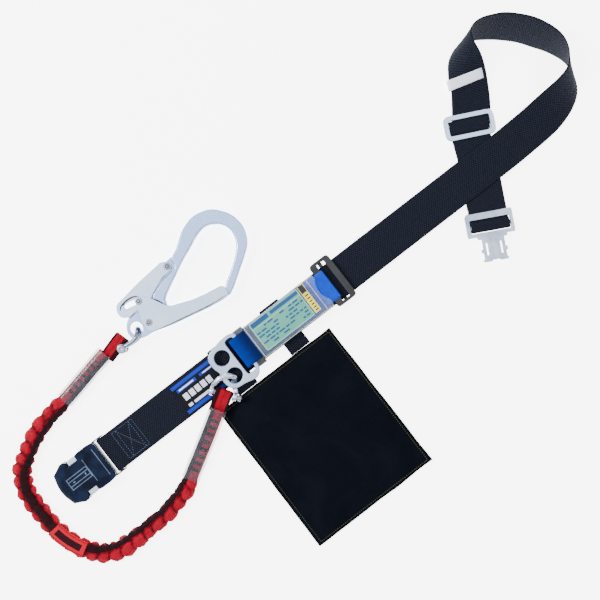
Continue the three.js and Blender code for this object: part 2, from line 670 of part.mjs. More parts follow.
// The elastic webbing's route on the ground, from the lower sleeve round to the upper one.
const ROUTE = [
  [-168, -38.5, 15.2], [-190, -52, 13.2], [-220, -69.5, 10], [-246, -84.5, 8.4], [-262, -94, 7.3],
  [-280, -99.5, 6.8], [-300, -103.5, 6.8], [-322, -105.5, 6.8], [-346, -105.8, 6.8], [-368, -105.5, 6.8],
  [-386, -102.5, 6.8], [-400, -94, 6.8], [-411, -81, 6.8], [-419.5, -65, 6.8], [-426, -46, 6.8],
  [-429, -25, 6.8], [-430, -5, 6.8], [-430, 14, 6.8], [-427.5, 32, 6.8], [-420.5, 47.5, 6.8],
  [-409, 59, 6.8], [-395, 68, 6.8], [-378, 77.5, 6.8], [-358, 84, 6.8], [-338, 88, 7.4],
  [-318, 90.5, 8.4], [-290, 96, 9.6], [-262, 102, 10.8], [-239, 106.5, 11],
];
const routePoints = (from, to) => ROUTE.slice(from, to).map(([x, y, z]) => V(x, y, z));

const FLAT = 0.62;

function lanyardTube() {
  return cut(tube(routePoints(0, ROUTE.length), 10.4, 70, 10, FLAT), openEnds(9.2));
}

function openEnds(radius) {
  return tube(extended(routePoints(0, ROUTE.length)), radius, 72, 8, FLAT * 0.94);
}

function extended(points) {
  const first = points[0].clone().multiplyScalar(2).sub(points[1]).lerp(points[0], 0.6);
  const last = points[points.length - 1];
  const end = last.clone().multiplyScalar(2).sub(points[points.length - 2]).lerp(last, 0.6);
  return [first, ...points, end];
}

function elasticCore() {
  return tube(routePoints(1, ROUTE.length - 1), 4.2, 54, 6, 0.6);
}

function clearSleeve(from, to) {
  const inner = tube(extended(routePoints(from, to)), 11.3, 10, 10, FLAT);
  return cut(tube(routePoints(from, to), 12.2, 8, 10, FLAT), inner);
}

function lowerEye() {
  const loop = cut(alongPin(0)(disc(0, 0, 5.6, -12, 12, 18)), alongPin(0)(disc(0, 0, PIN_R + 0.4, -20, 20, 18)));
  const neck = tube([pinFrame(0, -4.9, 0), pinFrame(0, -11, 0), V(-167, -38, 15)], 5.6, 4, 8, 0.5);
  return cut(join(loop, neck), alongPin(0)(disc(0, 0, PIN_R + 0.4, -20, 20, 18)));
}

function upperEye() {
  const [x, y] = UPPER_PIN;
  const loop = disc(x, y, 6.2, HOOK_Z - 4.7, HOOK_Z + 4.7, 18);
  const neck = tube([V(x - 4, y + 2.4, HOOK_Z), V(x - 12, y + 6, HOOK_Z), V(-240, 106.5, HOOK_Z)], 4.4, 4, 8, 1);
  return cut(join(loop, neck), disc(x, y, PIN_R + 0.4, 0, 30, 18));
}

function wovenPatch() {
  const centre = V(-421.3, -63.5, 13.9);
  const across = V(0.93, 0.37, 0);
  const along = V(-0.37, 0.93, 0);
  const stations = [-19, 19].map((s) => ({ centre: centre.clone().addScaledVector(along, s), across }));
  return ribbon(stations, 15, 0.6);
}

// ---------- pouch ----------

function pouchBag() {
  const { x0, x1, y0, y1, thick } = POUCH;
  const rim = roundedOutline([[x0, y0], [x1, y0], [x1 - 1.5, y1], [x0 + 2.5, y1]], 3);
  const w = POUCH_WALL;
  return cut(plate(rim, 0, thick, 1.4, 1), box(x0 + 9, x1 - 8, y0 + 9, y1 + 10, w, thick - w));
}

function pouchStrap(x0, x1) {
  const path = [
    [42.4, 5], [30, 5], [-27.4, 5], [-27.4, 1.3], [30, 1.3], [39.5, 1.3],
  ];
  return ribbon(straightRun([(x0 + x1) / 2, 0], -90, path, 1.6), x1 - x0, 0.9);
}

// ---------- assembly ----------

const LOOKS = {
  belt: { color: 0x1d2129, roughness: 0.9, metalness: 0 },
  label: { color: 0x15181f, roughness: 0.7, metalness: 0 },
  smoke: { color: 0x3a4a6b, roughness: 0.3, metalness: 0 },
  steel: { color: 0xc4ccd8, roughness: 0.3, metalness: 1 },
  zinc: { color: 0xb9c3d6, roughness: 0.45, metalness: 1 },
  alloy: { color: 0xcdd9ea, roughness: 0.35, metalness: 0.9 },
  white: { color: 0xdcdce8, roughness: 0.6, metalness: 0 },
  black: { color: 0x14161a, roughness: 0.3, metalness: 0 },
  grey: { color: 0x6b6b6b, roughness: 0.8, metalness: 0 },
  blue: { color: 0x0a4f9e, roughness: 0.8, metalness: 0 },
  clear: { color: 0xcfd8e0, roughness: 0.2, metalness: 0 },
  card: { color: 0x96cfb5, roughness: 0.5, metalness: 0 },
  strip: { color: 0xf2df3c, roughness: 0.5, metalness: 0 },
  red: { color: 0xd8002a, roughness: 0.85, metalness: 0 },
  rubber: { color: 0x1f0a10, roughness: 0.8, metalness: 0 },
  pouch: { color: 0x0d1118, roughness: 0.8, metalness: 0 },
};

const assembly = new THREE.Group();

function put(name, geometry, look) {
  const placed = geometry.clone().translate(-ORIGIN.x, -ORIGIN.y, -ORIGIN.z);
  const mesh = new THREE.Mesh(placed, new THREE.MeshStandardMaterial(LOOKS[look]));
  mesh.name = name;
  assembly.add(mesh);
}

put("belt_webbing", beltWebbing(), "belt");
put("belt_label", beltLabel(), "label");
put("female_buckle_lower_shell", buckleLower(), "smoke");
put("female_buckle_upper_shell", buckleUpper(), "smoke");
put("female_buckle_latch_plate", latchPlate(), "steel");
put("release_button_left", releaseButton(1), "steel");
put("release_button_right", releaseButton(-1), "steel");
put("release_spring_left", releaseSpring(1), "steel");
put("release_spring_right", releaseSpring(-1), "steel");
put("male_buckle_frame", maleFrame(), "zinc");
put("male_buckle_bar", maleBar(), "zinc");
put("silver_belt_slide", silverSlide(), "alloy");
put("white_belt_keeper", whiteKeeper(turnStations()), "white");
put("black_belt_slide", blackSlide(), "black");
put("absorber_tear_webbing", absorberWebbing(), "blue");
put("absorber_clear_cover", absorberCover(), "clear");
put("absorber_label_card", labelCard(), "card");
put("absorber_indicator_strip", indicatorStrip(), "strip");
put("absorber_belt_keeper", greyKeeper(), "grey");
put("connector_plate", connectorPlate(), "steel");
put("lower_shackle_bow", lowerShackleBow(), "steel");
put("lower_shackle_pin", lowerShacklePin(), "steel");
put("lanyard_elastic_webbing", lanyardTube(), "red");
put("lanyard_elastic_core", elasticCore(), "rubber");
put("lanyard_lower_sleeve", clearSleeve(0, 4), "clear");
put("lanyard_upper_sleeve", clearSleeve(ROUTE.length - 4, ROUTE.length), "clear");
put("lanyard_lower_eye", lowerEye(), "red");
put("lanyard_upper_eye", upperEye(), "red");
put("lanyard_woven_patch", wovenPatch(), "red");
put("upper_shackle_bow", upperShackleBow(), "steel");
put("upper_shackle_pin", upperShacklePin(), "steel");
put("hook_body", hookBody(), "alloy");
put("hook_gate", hookGate(), "alloy");
put("hook_gate_lock_pin", rivet(GATE_PIN, GATE_OUT + 0.3, 1.3), "steel");
put("hook_gate_pivot_rivet", rivet(GATE_PIVOT, GATE_OUT + 0.3, 1.3), "steel");
put("hook_lock_lever", lockLever(), "alloy");
put("hook_lever_pivot_rivet", rivet(LEVER_PIVOT, LEVER_OUT + 0.3, 1.3), "steel");
put("pouch_bag", pouchBag(), "pouch");
put("pouch_strap_left", pouchStrap(-137, -107.5), "pouch");
put("pouch_strap_right", pouchStrap(-52, -22.5), "pouch");

export default assembly;
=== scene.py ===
"""A waist belt with a shock absorbing lanyard, laid out on a pale floor.

Drawing coordinates are in millimetres; at() turns them into the frame's metres."""

import math
import random

import bmesh
import bpy
from mathutils import Matrix, Vector, noise


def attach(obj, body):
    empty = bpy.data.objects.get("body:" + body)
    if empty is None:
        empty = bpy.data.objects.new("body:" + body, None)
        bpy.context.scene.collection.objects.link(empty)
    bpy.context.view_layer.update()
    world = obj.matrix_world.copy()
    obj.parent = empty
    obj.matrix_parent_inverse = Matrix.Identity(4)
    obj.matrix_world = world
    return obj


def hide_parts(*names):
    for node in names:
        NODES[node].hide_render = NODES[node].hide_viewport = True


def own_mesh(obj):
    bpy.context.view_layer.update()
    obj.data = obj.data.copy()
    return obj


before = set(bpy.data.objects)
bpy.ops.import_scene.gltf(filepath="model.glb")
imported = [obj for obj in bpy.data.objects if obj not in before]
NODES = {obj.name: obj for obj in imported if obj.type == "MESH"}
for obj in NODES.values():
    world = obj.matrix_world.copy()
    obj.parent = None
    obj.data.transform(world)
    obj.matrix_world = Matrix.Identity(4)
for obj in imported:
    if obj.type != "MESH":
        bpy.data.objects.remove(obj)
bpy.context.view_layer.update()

ORIGIN = Vector((34.16, -41.89, 0))
MM = 0.001
UP = Vector((0, 0, 1))


def at(x, y, z=0.0):
    return (Vector((x, y, z)) - ORIGIN) * MM


def linked(name, data):
    item = bpy.data.objects.new(name, data)
    bpy.context.collection.objects.link(item)
    return item


def wobble(*place):
    return noise.noise(Vector(place))


def heading(degrees):
    """The unit vectors ahead and to the left for a direction in the drawing."""
    turn = math.radians(degrees)
    ahead = Vector((math.cos(turn), math.sin(turn), 0))
    return ahead, Vector((-ahead.y, ahead.x, 0))


# ---- camera, floor and light ----

VIEW_CENTRE = (0, 8.1, 1074)
VIEW_ROLL = math.radians(-37.65)


def add_camera():
    data = bpy.data.cameras.new("camera")
    data.sensor_width = 36
    data.lens = 49.8
    camera = linked("camera", data)
    camera.location = at(*VIEW_CENTRE)
    camera.rotation_euler = (0, 0, VIEW_ROLL)
    bpy.context.scene.camera = camera


def add_light(name, place, size, power):
    data = bpy.data.lights.new(name, "AREA")
    data.shape = "DISK"
    data.size = size
    data.energy = power
    light = linked(name, data)
    light.location = place
    light.rotation_euler = (-Vector(place)).to_track_quat("-Z", "Y").to_euler()


def add_studio():
    add_light("key", (-0.9, 1.0, 1.5), 0.6, 38)
    add_light("fill", (1.3, -0.5, 1.4), 1.0, 8)
    add_light("rim", (0.3, 1.7, 0.6), 0.5, 8)
    world = bpy.data.worlds.new("studio")
    world.use_nodes = True
    tree = world.node_tree
    place = tree.nodes.new("ShaderNodeTexCoord")
    split = tree.nodes.new("ShaderNodeSeparateXYZ")
    ramp = tree.nodes.new("ShaderNodeValToRGB")
    horizon, zenith = ramp.color_ramp.elements
    horizon.position, horizon.color = 0.2, (0.1, 0.11, 0.14, 1)
    zenith.position, zenith.color = 0.92, (0.95, 0.97, 1, 1)
    sky = tree.nodes["Background"].inputs
    tree.links.new(place.outputs["Generated"], split.inputs[0])
    tree.links.new(split.outputs["Z"], ramp.inputs["Fac"])
    tree.links.new(ramp.outputs["Color"], sky["Color"])
    sky["Strength"].default_value = 1.8
    bpy.context.scene.world = world


# ---- shader helpers ----


class Shade:
    """One procedural material: each call adds a node and gives back its output."""

    def __init__(self, name, rough, metal=0.0, alpha=1.0, **sockets):
        self.mat = bpy.data.materials.new(name)
        self.mat.use_nodes = True
        self.tree = self.mat.node_tree
        self.bsdf = self.tree.nodes["Principled BSDF"]
        self.set("Roughness", rough)
        self.set("Metallic", metal)
        self.set("Alpha", alpha)
        for socket, value in sockets.items():
            self.set(socket.replace("_", " "), value)

    def set(self, socket, value):
        self.feed(self.bsdf.inputs[socket], value)

    def node(self, kind, **settings):
        made = self.tree.nodes.new(kind)
        for key, value in settings.items():
            setattr(made, key, value)
        return made

    def feed(self, socket, value):
        if isinstance(value, bpy.types.NodeSocket):
            self.tree.links.new(value, socket)
        else:
            socket.default_value = value

    def fill(self, made, **sockets):
        for socket, value in sockets.items():
            self.feed(made.inputs[socket], value)

    def math(self, operation, a, b=0.0, c=0.0):
        made = self.node("ShaderNodeMath", operation=operation)
        for socket, value in zip(made.inputs, (a, b, c)):
            self.feed(socket, value)
        return made.outputs[0]

    def times(self, a, b):
        return self.math("MULTIPLY", a, b)

    def plus(self, a, b):
        return self.math("ADD", a, b)

    def blend(self, a, a_share, b, b_share):
        return self.plus(self.times(a, a_share), self.times(b, b_share))

    def between(self, value, low, high):
        return self.times(self.math("GREATER_THAN", value, low), self.math("LESS_THAN", value, high))

    def dashes(self, along, rate, level):
        """1 where a sine of rate radians to the millimetre is above the level."""
        return self.math("GREATER_THAN", self.math("SINE", self.times(along, rate)), level)

    def coords(self, kind):
        return self.node("ShaderNodeTexCoord").outputs[kind]

    def axes(self, kind):
        made = self.node("ShaderNodeSeparateXYZ")
        self.feed(made.inputs[0], self.coords(kind))
        return made.outputs

    def noise(self, scale, detail, rough=0.55, distortion=0.0):
        made = self.node("ShaderNodeTexNoise")
        self.fill(made, Vector=self.coords("Object"), Scale=scale, Detail=detail, Roughness=rough,
                  Distortion=distortion)
        return made.outputs["Fac"]

    def mix(self, factor, low, high):
        made = self.node("ShaderNodeMix", data_type="RGBA")
        self.feed(made.inputs["Factor"], factor)
        for socket, value in zip((made.inputs[6], made.inputs[7]), (low, high)):
            self.feed(socket, value if isinstance(value, bpy.types.NodeSocket) else (*value, 1))
        return made.outputs[2]

    def span(self, value, from_low, from_high, to_low=0.0, to_high=1.0):
        made = self.node("ShaderNodeMapRange", interpolation_type="SMOOTHSTEP")
        for socket, number in zip(made.inputs, (value, from_low, from_high, to_low, to_high)):
            self.feed(socket, number)
        return made.outputs[0]

    def paint(self, factor, low, high):
        self.set("Base Color", self.mix(factor, low, high))

    def bump(self, height, strength, distance):
        made = self.node("ShaderNodeBump")
        self.fill(made, Height=height, Strength=strength, Distance=distance * MM)
        self.set("Normal", made.outputs[0])

    def weave(self, u, v, rib, warp):
        """Cloth: ribs stepped by half a rib from one warp column to the next."""
        column = self.math("FLOOR", self.math("DIVIDE", v, warp))
        phase = self.times(column, math.pi)
        wave = self.math("SINE", self.plus(self.times(u, math.tau / rib), phase))
        raised = self.math("MULTIPLY_ADD", wave, 0.5, 0.5)
        across = self.math("ABSOLUTE", self.math("SINE", self.times(v, math.pi / warp)))
        return self.times(raised, self.math("MULTIPLY_ADD", across, 0.6, 0.4))

    def flat_weave(self, pitch):
        """The same cloth on a piece with no UV map, from its place in the frame."""
        place = self.axes("Object")
        u, v = self.times(place[0], 1000), self.times(place[1], 1000)
        return self.weave(u, v, pitch * 2, pitch)


def webbing(name, dark, light, rib, warp, depth=0.35):
    """Woven strap. Its UV map holds millimetres along and across the strap."""
    shade = Shade(name, 0.86, Specular_IOR_Level=0.1)
    uv = shade.axes("UV")
    height = shade.weave(uv[0], uv[1], rib, warp)
    tone = shade.blend(height, 0.75, shade.noise(260, 2), 0.35)
    shade.paint(tone, dark, light)
    shade.bump(height, 0.75, depth)
    return shade


def flat_cloth(name, dark, light, pitch):
    """Woven cloth on a piece with no UV map."""
    shade = Shade(name, 0.85, Specular_IOR_Level=0.1)
    height = shade.flat_weave(pitch)
    tone = shade.blend(height, 0.5, shade.noise(90, 4), 0.5)
    shade.paint(tone, dark, light)
    shade.bump(height, 0.35, 0.15)
    return shade


def metal(name, dark, light, rough, grain=400, dent=0.02, metallic=1.0):
    shade = Shade(name, rough[0], metallic)
    cloud = shade.noise(35, 4, 0.6)
    fine = shade.noise(grain, 3, 0.7)
    tone = shade.span(shade.blend(cloud, 0.6, fine, 0.4), 0.3, 0.7)
    shade.paint(tone, dark, light)
    shade.set("Roughness", shade.math("MULTIPLY_ADD", fine, rough[1] - rough[0], rough[0]))
    shade.bump(fine, 0.3, dent)
    return shade


def plastic(name, dark, light, rough, alpha=1.0, **sockets):
    shade = Shade(name, rough, 0.0, alpha, **sockets)
    cloud = shade.noise(60, 3)
    fine = shade.noise(500, 2)
    shade.paint(shade.span(cloud, 0.3, 0.7), dark, light)
    shade.set("Roughness", shade.math("MULTIPLY_ADD", fine, 0.15, rough - 0.05))
    shade.bump(shade.plus(fine, cloud), 0.25, 0.03)
    return shade


def floor_material():
    shade = Shade("pale_floor", 0.95, Specular_IOR_Level=0.1)
    cloud = shade.noise(3, 2)
    shade.paint(cloud, (0.93, 0.935, 0.94), (0.955, 0.96, 0.965))
    shade.set("Emission Color", (1, 1, 1, 1))
    shade.set("Emission Strength", 5.5)
    return shade


# ---- mesh helpers ----


def make(name, mesh, shade, smooth=True):
    item = linked(name, mesh)
    mesh.materials.append(shade.mat)
    for face in mesh.polygons:
        face.use_smooth = smooth
    return item


def loft(name, rings, shade, uv_of=None, capped=True):
    """Joins closed rings of points. uv_of(i, k) gives the UV of point k of ring i."""
    count = len(rings[0])
    points = [point for ring in rings for point in ring]
    last = len(rings) - 1
    corners = [((i, k), (i, k + 1), (i + 1, k + 1), (i + 1, k)) for i in range(last) for k in range(count)]
    if capped:
        corners.append([(0, k) for k in reversed(range(count))])
        corners.append([(last, k) for k in range(count)])
    mesh = bpy.data.meshes.new(name)
    mesh.from_pydata(points, [], [[i * count + k % count for i, k in named] for named in corners])
    if uv_of:
        layer = mesh.uv_layers.new(name="UVMap")
        for face, named in zip(mesh.polygons, corners):
            for loop, (i, k) in zip(face.loop_indices, named):
                layer.data[loop].uv = uv_of(i, k)
    mesh.update()
    fix_normals(mesh)
    return make(name, mesh, shade)


def fix_normals(mesh):
    work = bmesh.new()
    work.from_mesh(mesh)
    bmesh.ops.recalc_face_normals(work, faces=work.faces)
    work.to_mesh(mesh)
    work.free()


def mesh_from(work, name):
    mesh = bpy.data.meshes.new(name)
    work.to_mesh(mesh)
    work.free()
    return mesh


def spline(points, count):
    """Catmull-Rom through the points, evenly counted between them."""
    out = []
    last = len(points) - 1
    for n in range(count + 1):
        t = n / count * last
        i = min(int(t), last - 1)
        f = t - i
        p0, p1, p2, p3 = (points[max(0, min(last, i + d))] for d in (-1, 0, 1, 2))
        out.append(0.5 * (2 * p1 + (p2 - p0) * f + (2 * p0 - 5 * p1 + 4 * p2 - p3) * f * f
                          + (3 * p1 - p0 - 3 * p2 + p3) * f ** 3))
    return out


def fillet(points, radius):
    out, steps = [Vector(points[0])], 6
    for before, corner, after in zip(points, points[1:], points[2:]):
        corner = Vector(corner)
        back, ahead = Vector(before) - corner, Vector(after) - corner
        reach = min(radius, back.length * 0.48, ahead.length * 0.48)
        start, end = corner + back.normalized() * reach, corner + ahead.normalized() * reach
        for n in range(steps + 1):
            f = n / steps
            out.append(start * (1 - f) ** 2 + corner * 2 * f * (1 - f) + end * f * f)
    out.append(Vector(points[-1]))
    return out


def run_stations(start, degrees, pairs, radius, shift=0.0):
    """Stations for ribbon(), from (travel, height) pairs along a straight line in the drawing."""
    ahead, left = heading(degrees)
    return [(Vector((*start, height)) + ahead * travel + left * shift, left.copy())
            for travel, height in fillet(pairs, radius)]


def ribbon(name, stations, width, thick, shade, lanes=14, capped=True):
    """A strap with soft edges through stations of (centre, width direction)."""
    rings, lengths, total = [], [], 0.0
    profile = strap_profile(width, thick, lanes)
    for i, (centre, across) in enumerate(stations):
        before = stations[max(i - 1, 0)][0]
        after = stations[min(i + 1, len(stations) - 1)][0]
        side = across.normalized()
        up = (after - before).cross(side).normalized()
        total += (centre - before).length
        lengths.append(total)
        rings.append([at(*(centre + side * a + up * b)) for a, b in profile])
    marks = [a for a, _ in profile]
    return loft(name, rings, shade, lambda i, k: (lengths[i], marks[k % len(marks)]), capped)


def strap_profile(width, thick, lanes):
    half, rise = width / 2, thick / 2
    top = []
    for n in range(lanes + 1):
        a = -half + width * n / lanes
        edge = min(half - abs(a), 1.2) / 1.2
        top.append((a, rise * (0.35 + 0.65 * math.sqrt(edge))))
    bottom = [(a, -b) for a, b in reversed(top)]
    return top + bottom


def rounded(name, node, shade, width, segments=2, angle=32, rim=None):
    """The CAD node's own shape with its sharp edges rounded. A rim material, if given, paints the side
    faces darker: painted shade.
    """
    work = bmesh.new()
    work.from_mesh(NODES[node].data)
    bmesh.ops.remove_doubles(work, verts=work.verts, dist=2e-6)
    bmesh.ops.dissolve_limit(work, angle_limit=math.radians(1.5), verts=work.verts, edges=work.edges)
    sharp = [e for e in work.edges
             if len(e.link_faces) == 2 and e.calc_face_angle() > math.radians(angle)]
    bmesh.ops.bevel(work, geom=sharp, offset=width * MM, segments=segments, profile=0.5,
                    affect="EDGES", clamp_overlap=True)
    bmesh.ops.triangulate(work, faces=[f for f in work.faces if len(f.verts) > 4])
    item = make(name, mesh_from(work, name), shade)
    if rim:
        paint_side_shade(item.data, rim, 0.93)
    flat_normals(item)
    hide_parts(node)
    return item


def paint_side_shade(mesh, shade, flatness):
    """A second material for the faces that turn away from straight up or down: painted shade on the sides.
    """
    mesh.materials.append(shade.mat)
    for face in mesh.polygons:
        face.material_index = int(abs(face.normal.z) < flatness)


def flat_normals(item):
    item.data.set_sharp_from_angle(angle=math.radians(50))
    item.modifiers.new("flats", "WEIGHTED_NORMAL").keep_sharp = True
    apply_modifiers(item)


def thicken(item, thick, offset):
    """An open skin's wall: offset 1 puts it outside the skin, 0 half on each side."""
    walls = item.modifiers.new("walls", "SOLIDIFY")
    walls.thickness = thick * MM
    walls.offset = offset
    apply_modifiers(item)


def evaluated(item):
    graph = bpy.context.evaluated_depsgraph_get()
    return bpy.data.meshes.new_from_object(item.evaluated_get(graph))


def apply_modifiers(item):
    baked = evaluated(item)
    item.modifiers.clear()
    item.data = baked


def tiles(name, boxes, shade):
    """Small raised blocks with soft rims, each (x0, x1, y0, y1, z0, z1)."""
    work = bmesh.new()
    for x0, x1, y0, y1, z0, z1 in boxes:
        middle = at((x0 + x1) / 2, (y0 + y1) / 2, (z0 + z1) / 2)
        size = Matrix.Diagonal(((x1 - x0) * MM, (y1 - y0) * MM, (z1 - z0) * MM, 1))
        bmesh.ops.create_cube(work, size=1, matrix=Matrix.Translation(middle) @ size)
    bmesh.ops.bevel(work, geom=list(work.edges), offset=0.02 * MM, segments=1, affect="EDGES",
                    clamp_overlap=True)
    return make(name, mesh_from(work, name), shade, False)


def stitches(name, lines, shade, pitch=3.2, length=2.3, width=0.55, height=0.35):
    """Sewing thread: one small lozenge for each stitch along the lines."""
    work = bmesh.new()
    for line in lines:
        for start, end in zip(line, line[1:]):
            run = end - start
            count = max(1, int(run.length / pitch))
            for n in range(count):
                middle = start + run * ((n + 0.5) / count)
                add_stitch(work, middle, run.normalized(), length, width, height)
    return make(name, mesh_from(work, name), shade)


def add_stitch(work, middle, ahead, length, width, height):
    side = UP.cross(ahead).normalized()
    ring = ((-0.5, 0), (-0.3, 0.8), (0.3, 0.8), (0.5, 0), (0.3, -0.8), (-0.3, -0.8))
    foot = [middle + ahead * a * length + side * b * width * 0.6 for a, b in ring]
    crest = [middle + ahead * a * length * 0.6 + side * b * width * 0.35 + UP * height for a, b in ring]
    low, top = ([work.verts.new(at(*point)) for point in points] for points in (foot, crest))
    for k in range(6):
        j = (k + 1) % 6
        work.faces.new((low[k], low[j], top[j], top[k]))
    work.faces.new(top)
    work.faces.new(list(reversed(low)))


# ---- colours ----

BELT = webbing("belt_weave", (0.0004, 0.0005, 0.0012), (0.0145, 0.0175, 0.032), 3.3, 2.5, depth=0.6)
LABEL = flat_cloth("label_weave", (0.003, 0.003, 0.005), (0.012, 0.013, 0.018), 0.5)
LABEL_BLUE = flat_cloth("label_blue", (0.006, 0.02, 0.26), (0.018, 0.05, 0.46), 0.5)
PRINT_WHITE = flat_cloth("print_white", (0.6, 0.62, 0.75), (0.9, 0.9, 0.95), 0.4)
SMOKE = plastic("smoke_plastic", (0.001, 0.003, 0.012), (0.005, 0.011, 0.034), 0.2, 0.95,
                Specular_IOR_Level=0.1)
SMOKE_DARK = plastic("smoke_plastic_inner", (0.006, 0.011, 0.026), (0.014, 0.023, 0.05), 0.25)
# The cover's raised lines, lighter than the smoke plastic: painted highlight.
SMOKE_RIB_HIGHLIGHT = plastic("smoke_plastic_rib_highlight", (0.035, 0.055, 0.105), (0.08, 0.12, 0.2), 0.2)
STEEL = metal("plated_steel", (0.55, 0.61, 0.72), (0.72, 0.79, 0.9), (0.2, 0.32))
# A darker steel for the upper shackle; as the gate's edge strip it is painted shade.
DARK_STEEL = metal("dark_steel", (0.06, 0.075, 0.1), (0.26, 0.3, 0.38), (0.18, 0.3), 240, 0.05)
# Painted shadow: the dark colour of the hook's slots, gaps and rivet dimples.
SLOT_SHADOW = metal("slot_shadow", (0.01, 0.011, 0.014), (0.035, 0.038, 0.046), (0.4, 0.6), metallic=0.3)
PLATE_STEEL = metal("tumbled_plate", (0.46, 0.54, 0.72), (0.62, 0.71, 0.93), (0.25, 0.4), 260, 0.06)
ZINC = metal("zinc_sheet", (0.36, 0.43, 0.57), (0.66, 0.73, 0.88), (0.22, 0.4), 110, 0.04)
ALLOY = metal("satin_alloy", (0.38, 0.54, 0.94), (0.5, 0.66, 1.0), (0.2, 0.34), 500, 0.04, 0.55)
ALLOY_PALE = metal("satin_sheet", (0.58, 0.71, 1.0), (0.7, 0.82, 1.0), (0.2, 0.32), 500, 0.02, 0.55)
# A darker copy of the alloy for side faces: painted shade.
ALLOY_SIDE_SHADE = metal("satin_alloy_side_shade", (0.1, 0.13, 0.19), (0.3, 0.36, 0.47), (0.3, 0.5))
RIVET = metal("rivet_steel", (0.2, 0.22, 0.27), (0.46, 0.5, 0.58), (0.2, 0.4), 260, 0.05)
WHITE = plastic("white_keeper", (0.74, 0.78, 0.92), (0.84, 0.87, 0.97), 0.5)
BLACK = plastic("black_lacquer", (0.004, 0.005, 0.007), (0.012, 0.014, 0.018), 0.16)
GREY = flat_cloth("grey_weave", (0.06, 0.06, 0.065), (0.19, 0.19, 0.2), 0.8)
THREAD_BLUE = flat_cloth("thread_blue_grey", (0.07, 0.11, 0.2), (0.16, 0.22, 0.34), 0.3)
THREAD_OLIVE = flat_cloth("thread_olive", (0.035, 0.04, 0.016), (0.09, 0.095, 0.045), 0.3)
CORE = plastic("dark_elastic", (0.01, 0.003, 0.005), (0.02, 0.006, 0.009), 0.7)


def blue_material():
    """Blue tear webbing with painted light and shade: dark in the cover's shade, lighter at its left end,
    brightest at its right end.
    """
    shade = Shade("blue_weave", 0.8, Specular_IOR_Level=0.12)
    uv = shade.axes("UV")
    height = shade.weave(uv[0], uv[1], 1.6, 1.3)
    place = shade.axes("Object")
    # Painted light and shade: the colour ramps with place, dark under the cover and lighter towards both
    # ends.
    painted_light = shade.span(place[0], at(-62, 0).x, at(34, 0).x)
    shaded = shade.span(place[0], at(-106, 0).x, at(-84, 0).x, 0.42, 0.0)
    tone = shade.math("MULTIPLY_ADD", height, 0.5, shade.times(shade.noise(150, 3), 0.5))
    painted_shade_blue = shade.mix(tone, (0.0, 0.001, 0.025), (0.0, 0.014, 0.11))
    sky = shade.mix(tone, (0.0, 0.025, 0.34), (0.0, 0.075, 0.72))
    shade.paint(shade.math("MAXIMUM", painted_light, shaded), painted_shade_blue, sky)
    shade.bump(height, 0.8, 0.35)
    return shade


# ---- lanyard ----

ROUTE = [
    (-168, -38.5, 15.2), (-190, -52, 13.2), (-220, -69.5, 10), (-246, -84.5, 8.4), (-262, -94, 7.3),
    (-280, -99.5, 6.8), (-300, -103.5, 6.8), (-322, -105.5, 6.8), (-346, -105.8, 6.8), (-368, -105.5, 6.8),
    (-386, -102.5, 6.8), (-400, -94, 6.8), (-411, -81, 6.8), (-419.5, -65, 6.8), (-426, -46, 6.8),
    (-429, -25, 6.8), (-430, -5, 6.8), (-430, 14, 6.8), (-427.5, 32, 6.8), (-420.5, 47.5, 6.8),
    (-409, 59, 6.8), (-395, 68, 6.8), (-378, 77.5, 6.8), (-358, 84, 6.8), (-338, 88, 7.4),
    (-318, 90.5, 8.4), (-290, 96, 9.6), (-262, 102, 10.8), (-239, 106.5, 11),
]
SLEEVE_LOW = 92.0
SLEEVE_HIGH = 84.0
CORE_INSET = 26.0
LANYARD_SIDES = 44


def even_path(points, step):
    """The curve through the points, resampled to even steps in millimetres."""
    fine = spline([Vector(p) for p in points], 1200)
    out, carried = [fine[0]], 0.0
    for a, b in zip(fine, fine[1:]):
        carried += (b - a).length
        if carried >= step:
            out.append(b)
            carried = 0.0
    return out


def frame_at(path, i):
    """The directions to the left and upward for something that travels along the path."""
    ahead = (path[min(i + 1, len(path) - 1)] - path[max(i - 1, 0)]).normalized()
    side = UP.cross(ahead).normalized()
    return side, ahead.cross(side).normalized()


def lobe(distance, pitch, seed):
    """A gathered puff: rounded crest, tight valley, each crest of its own height."""
    n = math.floor(distance / pitch)
    f = distance / pitch - n
    rise = math.sin(math.pi * f) ** 0.55
    return rise * (0.8 + 0.4 * wobble(n * 1.7, seed, 0.3))


def smooth(value, low, high):
    f = max(0.0, min(1.0, (value - low) / (high - low)))
    return f * f * (3 - 2 * f)


def strip_turn(distance, total):
    """Where the dark strip lies round the tube: inner side, on top, then inner again."""
    f = distance / total
    top = smooth(f, 0.36, 0.5) * (1 - smooth(f, 0.62, 0.74))
    return math.radians(54 - 46 * top)


